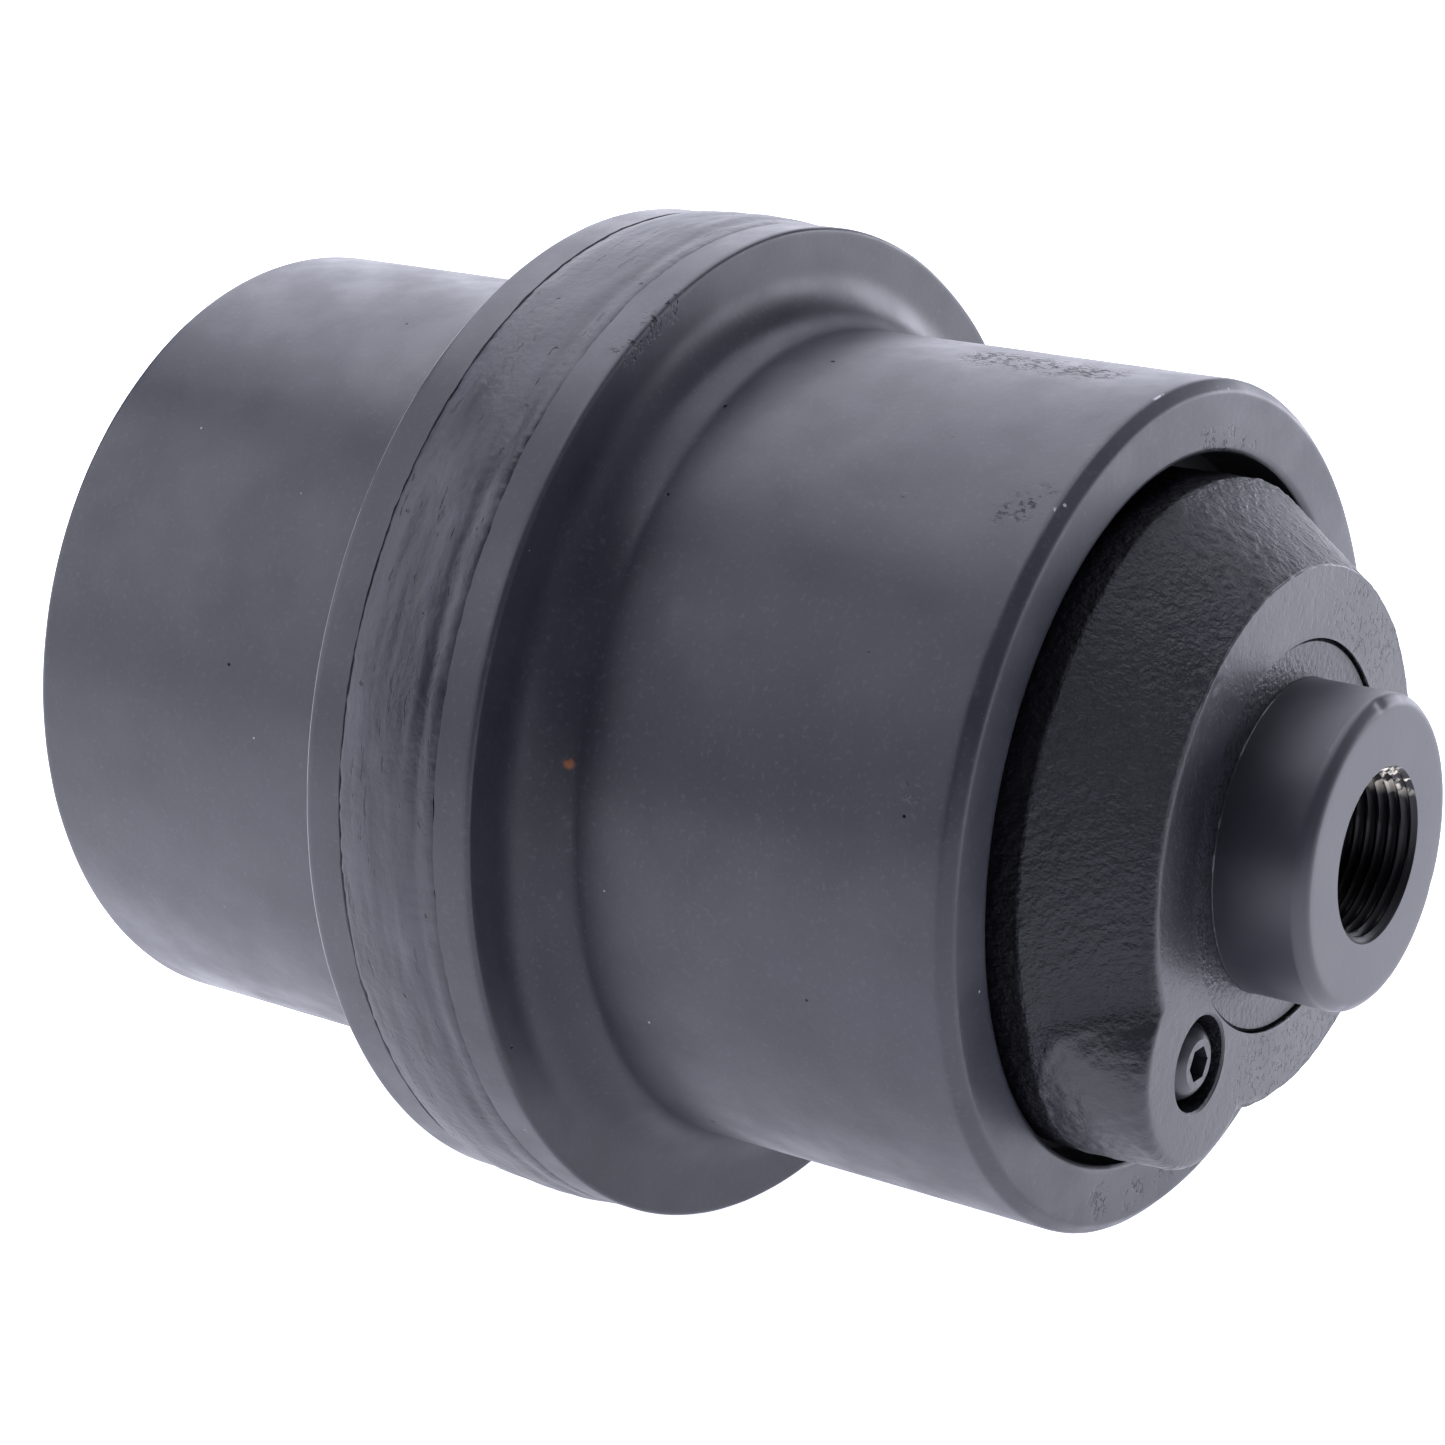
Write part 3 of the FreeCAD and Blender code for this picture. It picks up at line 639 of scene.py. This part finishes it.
def plain_metal(name, dark, light, roughness, grain_per_metre=300.0):
    """Bare turned metal with a fine grain."""
    m = Material(name)
    grain = m.noise(grain_per_metre, detail=4.0, stretch=(1, 6, 1))
    rough = m.steps(grain, 0.3, 0.7, roughness - 0.06, roughness + 0.06)
    normal = m.bump(grain, 0.00004, 0.5)
    return m.finish(m.mix(grain, dark, light), rough, normal, metallic=1.0)


def rubber():
    """Matte black nitrile rubber."""
    m = Material("nitrile_rubber")
    grain = m.noise(700.0, detail=3.0)
    colour = m.mix(grain, (0.012, 0.012, 0.013, 1), (0.025, 0.025, 0.027, 1))
    return m.finish(colour, m.steps(grain, 0.3, 0.7, 0.55, 0.7), m.bump(grain, 0.00005, 0.5))


def black_oxide():
    """Black-oxide steel of the filler plugs."""
    m = Material("black_oxide")
    grain = m.noise(900.0, detail=3.0)
    colour = m.mix(grain, (0.012, 0.0125, 0.016, 1), (0.020, 0.021, 0.026, 1))
    return m.finish(colour, m.steps(grain, 0.3, 0.7, 0.32, 0.45), m.bump(grain, 0.00005, 0.4))


# ---- pieces ----

def shell_profile():
    """Closed half section of a shell half, fine where it shows and coarse inside."""
    crease = math.radians(FLANGE_CREASE_DEG)
    fillet_centre = (FLANGE_HALF_WIDTH + FLANGE_FILLET, TREAD_RADIUS + FLANGE_FILLET * math.cos(crease))
    crease_out = fillet_centre[0] - FLANGE_FILLET * math.sin(crease)
    face_corner = (SHELL_HALF_WIDTH, TREAD_RADIUS - TREAD_EDGE_BEVEL)
    tread_corner = (SHELL_HALF_WIDTH - TREAD_EDGE_BEVEL, TREAD_RADIUS)
    tread_start = (crease_out, TREAD_RADIUS)
    rim_centre = (FLANGE_HALF_WIDTH - FLANGE_EDGE_ROUND, FLANGE_RADIUS - FLANGE_EDGE_ROUND)
    inside = sampled([
        (0.0, CHAMBER_RADIUS), (CHAMBER_HALF_WIDTH, CHAMBER_RADIUS),
        (CHAMBER_HALF_WIDTH, BUSH_OUTER_RADIUS), (BUSH_FLANGE_INNER_OUT, BUSH_OUTER_RADIUS),
        (BUSH_FLANGE_INNER_OUT, BUSH_FLANGE_RADIUS), (BUSH_FLANGE_OUTER_OUT, BUSH_FLANGE_RADIUS),
        (BUSH_FLANGE_OUTER_OUT, SEAL_SEAT_RADIUS), (SEAL_SEAT_OUT, SEAL_SEAT_RADIUS),
        (MOUTH_FLOOR_OUT, SEAL_SEAT_MOUTH_RADIUS), (MOUTH_FLOOR_OUT, MOUTH_RADIUS),
        (SHELL_HALF_WIDTH - MOUTH_CHAMFER, MOUTH_RADIUS),
    ], [40.0] * 9 + [1.0])
    mouth_corner = (SHELL_HALF_WIDTH, MOUTH_RADIUS + MOUTH_CHAMFER)
    mouth = softened(inside[-1], mouth_corner, face_corner, EDGE_SOFTENING)
    bevel = softened(mouth_corner, face_corner, tread_corner, EDGE_SOFTENING)
    bevel += softened(face_corner, tread_corner, tread_start, EDGE_SOFTENING)
    end_face = sampled([mouth[-1], bevel[0]], [0.6])[1:-1]
    tread = sampled([bevel[-1], tread_start], [0.65])[1:]
    fillet = arc(fillet_centre, FLANGE_FILLET, 270 - FLANGE_CREASE_DEG, 180, 16)[1:]
    face = sampled([(FLANGE_HALF_WIDTH, fillet_centre[1]), (FLANGE_HALF_WIDTH, rim_centre[1])], [0.6])[1:]
    rim = arc(rim_centre, FLANGE_EDGE_ROUND, 0, 90, 5)[1:]
    land = sampled([
        (rim_centre[0], FLANGE_RADIUS), (WELD_HALF_WIDTH, FLANGE_RADIUS),
        (WELD_ROOT_HALF_WIDTH, WELD_ROOT_RADIUS), (0.0, WELD_ROOT_RADIUS),
    ], [0.6, 1.0, 2.0])[1:]
    return inside + mouth + end_face + bevel + tread + fillet + face + rim + land


def build_shell(end, material):
    """One shell half with slight unevenness left by forging and paint."""
    profile = shell_profile()
    outs, radii, angles = spin_grid(profile, SHELL_SEGMENTS)
    ideal = spin(outs, radii, angles)
    shown = radii > MOUTH_RADIUS + MOUTH_CHAMFER
    skin = layered_noise(ideal, SHELL_SKIN_LAYERS, SHELL_SEEDS[end]) * shown
    at_weld = np.abs(outs - WELD_HALF_WIDTH) < 0.01
    wander = layered_noise(ideal, WELD_LAND_LAYERS, SHELL_SEEDS[end] + 3) * at_weld
    points = spin(outs + 0.5 * skin + wander, radii + skin, angles)
    rows = len(profile)
    piece = make_object("shell_" + end, points, grid_faces(rows, SHELL_SEGMENTS, closed=True), material)
    if end == "rear":
        at_rear(piece)
    shade_smooth(piece, 25)
    return piece


def build_weld(material):
    """Hand-laid bead: an uneven crown, wandering edges and small ripples."""
    toe = np.linspace(1 - WELD_TOE_SHARE, 1, WELD_TOE_ROWS)
    across = np.concatenate([-toe[::-1], np.linspace(-toe[0], toe[0], WELD_MIDDLE_ROWS)[1:-1], toe])
    angles = np.arange(WELD_SEGMENTS) * (2 * math.pi / WELD_SEGMENTS)
    share = np.repeat(across, WELD_SEGMENTS)
    turn = np.tile(angles, len(across))
    surface = np.full(len(share), FLANGE_RADIUS)
    ring = spin(share * WELD_HALF_WIDTH, surface, turn)
    edge_line = spin(np.sign(share) * WELD_HALF_WIDTH, surface, turn)
    wander = layered_noise(edge_line, WELD_EDGE_LAYERS, WELD_SEEDS["edge"])
    gap = np.where(share > 0, WELD_FRONT_TOE_GAP, WELD_REAR_TOE_GAP)
    outs = share * (WELD_HALF_WIDTH - gap + wander)
    crown = WELD_CROWN * (1 - np.abs(share) ** 2.5) - WELD_TOE_DIP * np.abs(share) ** 30
    crown -= WELD_HOLLOW_DEPTH * np.exp(-((share - WELD_HOLLOW_SHARE) / WELD_HOLLOW_WIDTH) ** 2)
    waves = layered_noise(ring, WELD_WAVE_LAYERS, WELD_SEEDS["waves"])
    streaks = layered_noise(ring * WELD_STREAK_STRETCH, WELD_STREAK_LAYERS, WELD_SEEDS["streaks"])
    radii = np.minimum(surface + crown + (waves + streaks) * (1 - share ** 8), WELD_TOP_RADIUS)
    outer = spin(outs, radii, turn)
    root = [(WELD_ROOT_HALF_WIDTH, WELD_ROOT_RADIUS), (-WELD_ROOT_HALF_WIDTH, WELD_ROOT_RADIUS)]
    inner = spin(*spin_grid(root, WELD_SEGMENTS))
    points = np.concatenate([outer, inner])
    faces = grid_faces(len(across) + len(root), WELD_SEGMENTS, closed=True)
    piece = make_object("weld_bead_rough", points, faces, material)
    shade_smooth(piece, 50)
    return piece


def lobe_reach(angles, depth):
    """Distance from the axis to the edge of the lobe and its blends, 0 where there is no lobe.

    The lobe keeps its height, and its shoulders move apart with the depth below the collar's face.
    """
    turn = np.abs((angles - math.radians(LOBE_ANGLE_DEG) + math.pi) % (2 * math.pi) - math.pi)
    shoulder = math.radians(LOBE_SHOULDER_DEG)
    moved = shoulder + math.radians(LOBE_DRAFT_DEG_PER_MM) * depth
    turn = np.where(turn < moved, turn * shoulder / moved, turn - moved + shoulder)
    blend_offset = COLLAR_FACE_RADIUS + LOBE_BLEND_RADIUS
    reach = LOBE_RADIUS + LOBE_BLEND_RADIUS
    span = blend_offset ** 2 + LOBE_OFFSET ** 2 - reach ** 2
    spread = math.acos(span / (2 * blend_offset * LOBE_OFFSET))
    blend_centre = blend_offset * np.array((math.cos(spread), math.sin(spread)))
    touch = np.array((LOBE_OFFSET, 0)) + (blend_centre - (LOBE_OFFSET, 0)) * (LOBE_RADIUS / reach)
    touch_turn = math.atan2(touch[1], touch[0])
    across = np.maximum(LOBE_RADIUS ** 2 - (LOBE_OFFSET * np.sin(turn)) ** 2, 0)
    lobe = LOBE_OFFSET * np.cos(turn) + np.sqrt(across)
    aside = turn - spread
    hollow = LOBE_BLEND_RADIUS ** 2 - (blend_offset * np.sin(aside)) ** 2
    blend = blend_offset * np.cos(aside) - np.sqrt(np.maximum(hollow, 0))
    return np.where(turn < touch_turn, lobe, np.where(turn < spread, blend, 0.0))


def smooth_maximum(first, second, width):
    """Larger of two arrays, with a soft blend where they are within the width."""
    share = np.clip(0.5 + 0.5 * (first - second) / width, 0, 1)
    return second + (first - second) * share + width * share * (1 - share) / 2


def window(angles_deg, start, end, fade):
    """1 between two angles, fading smoothly to 0 outside them."""
    rise = np.clip((angles_deg - start) / fade + 1, 0, 1)
    fall = np.clip((end - angles_deg) / fade + 1, 0, 1)
    share = np.minimum(rise, fall)
    return share * share * (3 - 2 * share)


def collar_skin():
    """Rows of out and radius from the rim, up the cone and the lobe, over the edge and across the face."""
    angles = np.arange(COLLAR_SEGMENTS) * (2 * math.pi / COLLAR_SEGMENTS)
    soft = window(np.degrees(angles), COLLAR_SOFT_FROM_DEG, COLLAR_SOFT_TO_DEG, COLLAR_SOFT_FADE_DEG)
    edge = COLLAR_CRISP_EDGE + (COLLAR_SOFT_EDGE - COLLAR_CRISP_EDGE) * soft
    rim_outs = np.linspace(COLLAR_RIM_END_OUT, COLLAR_CONE_BASE_OUT, 21)[:-1]
    outs = [np.full(COLLAR_SEGMENTS, out) for out in rim_outs]
    outs += [COLLAR_CONE_BASE_OUT + (COLLAR_FACE_OUT - edge - COLLAR_CONE_BASE_OUT) * share
             for share in np.linspace(0, 1, 38)]
    radii = []
    for out in outs:
        above = np.maximum(out - COLLAR_CONE_BASE_OUT, 0.0)
        cone = COLLAR_RIM_RADIUS - COLLAR_SLOPE * above
        lobe = lobe_reach(angles, COLLAR_FACE_OUT - COLLAR_CONE_BASE_OUT - above)
        reach = np.where((out > LOBE_INNER_OUT) & (lobe > 0), lobe, cone - 5.0)
        radii.append(smooth_maximum(reach, cone, 1.2))
    top = radii[-1]
    for angle in np.radians((22, 45, 68, 90)):
        outs.append(COLLAR_FACE_OUT - edge * (1 - math.sin(angle)))
        radii.append(top - edge * (1 - math.cos(angle)))
    brow = radii[-1]
    for share in np.linspace(0, 1, 26)[1:]:
        outs.append(np.full(COLLAR_SEGMENTS, COLLAR_FACE_OUT))
        radii.append(brow + (SHAFT_RADIUS - brow) * share)
    return np.concatenate(outs), np.concatenate(radii), np.tile(angles, len(outs))


def build_collar(end, material):
    """Cast collar with its lobe blended into the cone, a rough skin and machined holes."""
    outs, radii, turn = collar_skin()
    seed = COLLAR_SEEDS[end]
    ideal = spin(outs, radii, turn)
    rough = layered_noise(ideal, COLLAR_ROUGH_LAYERS, seed)
    scar = window(np.degrees(turn), COLLAR_SCAR_DEG - COLLAR_SCAR_HALF_DEG,
                  COLLAR_SCAR_DEG + COLLAR_SCAR_HALF_DEG, 4.0)
    scar = scar * (outs > COLLAR_CONE_BASE_OUT)
    scar = scar * np.clip(1 - np.abs(radii - COLLAR_FACE_RADIUS - 0.6) / 2.2, 0, 1)
    chips = layered_noise(ideal, COLLAR_CHIP_LAYERS, seed + 9) * scar
    on_face = outs > COLLAR_FACE_OUT - 0.01
    radii = radii + np.where(on_face, 0.0, rough) + chips
    dimple = np.minimum(0.12 * rough - 0.03 + chips, 0)
    outs = outs + np.where(on_face & (radii > SHAFT_RADIUS + 0.1), dimple, 0.0)
    bore = SHAFT_RADIUS + 0.12
    hidden = [
        (COLLAR_FACE_OUT - 0.5, bore), (COLLAR_HUB_END_OUT, SHAFT_RADIUS),
        (COLLAR_HUB_END_OUT, COLLAR_HUB_RADIUS), (COLLAR_CAVITY_FLOOR_OUT, COLLAR_HUB_RADIUS),
        (COLLAR_CAVITY_FLOOR_OUT, SEAL_SEAT_RADIUS), (COLLAR_SEAT_BACK_OUT, SEAL_SEAT_RADIUS),
        (COLLAR_RIM_END_OUT, SEAL_SEAT_MOUTH_RADIUS),
    ]
    points = np.concatenate([spin(outs, radii, turn), spin(*spin_grid(hidden, COLLAR_SEGMENTS))])
    rows = len(points) // COLLAR_SEGMENTS
    piece = make_object("collar_" + end, points, grid_faces(rows, COLLAR_SEGMENTS, closed=True), material)
    cut_collar_holes(piece)
    if end == "rear":
        stub_outs = (COLLAR_CONE_BASE_OUT, STUB_END_OUT)
        stub_ends = [at_front(STUB_OFFSET, -STUB_ANGLE_DEG, out) for out in stub_outs]
        length = STUB_END_OUT - COLLAR_CONE_BASE_OUT
        steps = [(0.0, STUB_RADIUS), (length - 0.6, STUB_RADIUS), (length, STUB_RADIUS - 0.6)]
        combine(piece, rod("stub", steps, stub_ends), "UNION")
        at_rear(piece)
    shade_smooth(piece, 35)
    return piece


def cut_collar_holes(piece):
    """Filler counterbore and drilling, and the lock pin's hole from below."""
    floor_out = COLLAR_FACE_OUT - FILLER_DEPTH
    ends = [at_front(FILLER_OFFSET, LOBE_ANGLE_DEG, out) for out in (COLLAR_CAVITY_FLOOR_OUT - 2, 100.0)]
    base = COLLAR_CAVITY_FLOOR_OUT - 2
    steps = [
        (0.0, FILLER_DRILL_RADIUS), (floor_out - base, FILLER_DRILL_RADIUS),
        (floor_out - base + 0.001, FILLER_RADIUS), (COLLAR_FACE_OUT - 0.35 - base, FILLER_RADIUS),
        (COLLAR_FACE_OUT + 1.0 - base, FILLER_RADIUS + 1.35),
    ]
    combine(piece, rod("filler_tool", steps, ends), "DIFFERENCE")
    pin_ends = [(0, -PIN_OUT, -20.0), (0, -PIN_OUT, -50.0)]
    combine(piece, rod("pin_tool", [(0.0, PIN_RADIUS), (30.0, PIN_RADIUS)], pin_ends), "DIFFERENCE")


def build_shaft(material):
    """Stepped shaft with real helical threads in both end holes."""
    front_points, front_rows = shaft_end_rows()
    half = front_rows * SHAFT_SEGMENTS
    rear_points = front_points.reshape(front_rows, SHAFT_SEGMENTS, 3)[::-1]
    rear_points = rear_points.reshape(-1, 3) * (-1, -1, 1)
    turned = rear_points.reshape(front_rows, SHAFT_SEGMENTS, 3)
    rear_points = np.roll(turned, SHAFT_SEGMENTS // 2, axis=1).reshape(-1, 3)
    tip = JOURNAL_END_OUT - THREAD_HOLE_DEPTH - DRILL_POINT_LENGTH
    points = np.concatenate([front_points, rear_points, [(0, -tip, 0), (0, tip, 0)]])
    faces = grid_faces(2 * front_rows, SHAFT_SEGMENTS, closed=False)
    front_tip = 2 * half
    for column in range(SHAFT_SEGMENTS):
        beside = (column + 1) % SHAFT_SEGMENTS
        last = 2 * half - SHAFT_SEGMENTS
        faces.append((front_tip, beside, column))
        faces.append((front_tip + 1, last + column, last + beside))
    piece = make_object("shaft_turned", points, faces, material)
    shade_smooth(piece, 35)
    return piece


def shaft_end_rows():
    """Points of the front half, row by row, from the hole's bottom out and back to the middle."""
    mouth_out = JOURNAL_END_OUT - THREAD_MOUTH_CHAMFER
    thread_start = JOURNAL_END_OUT - THREAD_CUT_DEPTH
    bottom = JOURNAL_END_OUT - THREAD_HOLE_DEPTH
    plain = [(bottom, THREAD_MINOR_RADIUS)]
    thread_end = (mouth_out + 0.4, THREAD_MINOR_RADIUS)
    thread = sampled([(thread_start, THREAD_MINOR_RADIUS), thread_end], [THREAD_PITCH / 8])
    mouth = (JOURNAL_END_OUT, THREAD_MAJOR_RADIUS + 0.15)
    end_corner = (JOURNAL_END_OUT, JOURNAL_RADIUS - JOURNAL_CHAMFER)
    side_corner = (JOURNAL_END_OUT - JOURNAL_CHAMFER, JOURNAL_RADIUS)
    journal_base = (SHAFT_SHOULDER_OUT, JOURNAL_RADIUS)
    chamfer = softened(mouth, end_corner, side_corner, JOURNAL_CHAMFER / 2)
    chamfer += softened(end_corner, side_corner, journal_base, JOURNAL_CHAMFER / 2)
    end_face = sampled([mouth, chamfer[0]], [0.8])[:-1]
    outside = sampled([
        chamfer[-1],
        journal_base,
        (SHAFT_SHOULDER_OUT, SHAFT_RADIUS - SHAFT_SHOULDER_CHAMFER),
        (SHAFT_SHOULDER_OUT - SHAFT_SHOULDER_CHAMFER, SHAFT_RADIUS),
        (SHAFT_WAIST_HALF_WIDTH + SHAFT_RADIUS - SHAFT_WAIST_RADIUS, SHAFT_RADIUS),
        (SHAFT_WAIST_HALF_WIDTH, SHAFT_WAIST_RADIUS),
    ], [0.8, 1.0, 1.0, 30.0, 2.0])
    profile = plain + thread + end_face + chamfer + outside
    outs, radii, angles = spin_grid(profile, SHAFT_SEGMENTS)
    in_thread = np.zeros(len(profile), bool)
    in_thread[len(plain):len(plain) + len(thread)] = True
    in_thread = np.repeat(in_thread, SHAFT_SEGMENTS)
    phase = (outs / THREAD_PITCH + angles / (2 * math.pi)) % 1.0
    flank = np.clip(1.35 * (1 - np.abs(2 * phase - 1)) - 0.15, 0, 1)
    run_in = np.clip((outs - thread_start) / (2 * THREAD_PITCH), 0, 1)
    depth = (THREAD_MAJOR_RADIUS - THREAD_MINOR_RADIUS) * flank * run_in
    flare = np.clip(outs - (mouth_out - 0.4), 0, None)
    threaded = THREAD_MINOR_RADIUS + np.maximum(depth, flare)
    radii = np.where(in_thread, threaded, radii)
    for angle_deg, reach, depth in JOURNAL_DINGS:
        middle = at_front(JOURNAL_RADIUS, angle_deg, JOURNAL_END_OUT)
        apart = np.linalg.norm(spin(outs, radii, angles) - middle, axis=1)
        dent = depth * np.exp(-(apart / reach) ** 2)
        radii = radii - dent
        outs = outs - 0.5 * dent
    return spin(outs, radii, angles), len(profile)


def dress_cad_nodes(finishes):
    """Gives the CAD nodes that stay visible their materials, by the start of their names."""
    for name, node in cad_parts.items():
        for start, material in finishes.items():
            if name.startswith(start):
                node.data.materials.clear()
                node.data.materials.append(material)


def place(piece, body, slot, *nodes):
    """Hands a finished piece to the frame."""
    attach(piece, body)
    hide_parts(*nodes)


def build_roller():
    casting = painted_casting()
    for end in ("front", "rear"):
        rear = end == "rear"
        # The front half is a shaded copy with less gloss, and only the rear gets the painted rim highlight.
        gloss = CLEAN_GLOSS if rear else FRONT_SHADE_GLOSS
        turning = painted_turning("painted_turning_" + end, rim_highlight=rear, gloss=gloss)
        place(build_shell(end, turning), "roller", "shell_paint", "shell_half_" + end)
        place(build_collar(end, casting), "shaft_assembly", "cast_collar", "end_collar_" + end)
    place(build_weld(painted_weld()), "roller", "weld_metal", "weld_bead")
    place(build_shaft(shaft_finish()), "shaft_assembly", "shaft_steel", "shaft")
    dress_cad_nodes({
        "bushing": plain_metal("bronze", (0.50, 0.30, 0.13, 1), (0.62, 0.42, 0.20, 1), 0.38),
        "seal_ring": plain_metal("lapped_iron", (0.30, 0.30, 0.31, 1), (0.45, 0.45, 0.46, 1), 0.25),
        "toric": rubber(),
        "shaft_o_ring": rubber(),
        "lock_pin": plain_metal("spring_steel", (0.22, 0.22, 0.24, 1), (0.34, 0.34, 0.36, 1), 0.40),
        "plug_washer": plain_metal("copper", (0.20, 0.11, 0.08, 1), (0.30, 0.17, 0.12, 1), 0.45),
        "filler_plug": black_oxide(),
    })


# ---- stage ----

FLOOR_SIZE = 8.0
FLOOR_DROP = 0.0002
FLOOR_GLOW = 1.18
STUDIO_TINT = (0.865, 0.875, 1.0, 1)
WORLD_STRENGTH = 0.12
# Name, place in metres, size in metres and power in watts of each soft box.
SOFT_LIGHTS = (
    ("top_box", (0.15, 0.1, 0.9), (1.2, 1.2), 16.0),
    ("back_box", (1.0, 0.7, 0.5), (1.4, 1.0), 11.0),
    ("left_box", (-0.6, 0.9, 0.5), (1.0, 1.0), 8.5),
    ("right_box", (0.6, -0.9, 0.5), (1.0, 1.0), 2.2),
    ("right_strip", (0.9, -0.35, 0.15), (0.8, 0.3), 4.5),
)
CAMERA_PLACE = (-0.3869, -0.2769, 0.1498)
CAMERA_DOWN_DEG = 17.65
CAMERA_TURN_DEG = -54.7
CAMERA_LENS = 90.2


def build_floor():
    """Plain pale light table that the flange rests on; its glow keeps the shadow faint."""
    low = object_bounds()[0][2] - FLOOR_DROP
    half = FLOOR_SIZE / 2 / MM
    corners = [(x, y, low / MM) for x, y in ((-half, -half), (half, -half), (half, half), (-half, half))]
    m = Material("light_table")
    m.shader.inputs["Emission Color"].default_value = STUDIO_TINT
    m.shader.inputs["Emission Strength"].default_value = FLOOR_GLOW
    pale = m.mix(m.noise(3.0), (0.86, 0.86, 0.865, 1), (0.88, 0.88, 0.885, 1))
    floor = make_object("floor", corners, [(0, 1, 2, 3)], m.finish(pale, 0.9, None))


def build_camera():
    camera = bpy.data.objects.new("camera", bpy.data.cameras.new("camera"))
    camera.location = CAMERA_PLACE
    camera.rotation_euler = (math.radians(90 - CAMERA_DOWN_DEG), 0, math.radians(CAMERA_TURN_DEG))
    camera.data.lens = CAMERA_LENS
    camera.data.clip_start = 0.01
    bpy.context.scene.collection.objects.link(camera)
    bpy.context.scene.camera = camera


def soft_light(name, place, size, power):
    """Soft box aimed at the roller's centre."""
    light = bpy.data.lights.new(name, "AREA")
    light.shape = "RECTANGLE"
    light.size = size[0]
    light.size_y = size[1]
    light.energy = power
    light.color = STUDIO_TINT[:3]
    lamp = bpy.data.objects.new(name, light)
    lamp.location = place
    aim = -np.array(place)
    lamp.rotation_euler = (
        math.acos(-aim[2] / np.linalg.norm(aim)), 0, math.atan2(aim[1], aim[0]) - math.pi / 2)
    bpy.context.scene.collection.objects.link(lamp)


def build_lights():
    world = bpy.data.worlds.new("studio")
    world.use_nodes = True
    background = world.node_tree.nodes["Background"]
    background.inputs["Color"].default_value = STUDIO_TINT
    background.inputs["Strength"].default_value = WORLD_STRENGTH
    bpy.context.scene.world = world
    for light in SOFT_LIGHTS:
        soft_light(*light)


build_camera()
build_roller()
build_lights()
build_floor()
bpy.context.scene.view_settings.view_transform = "Standard"
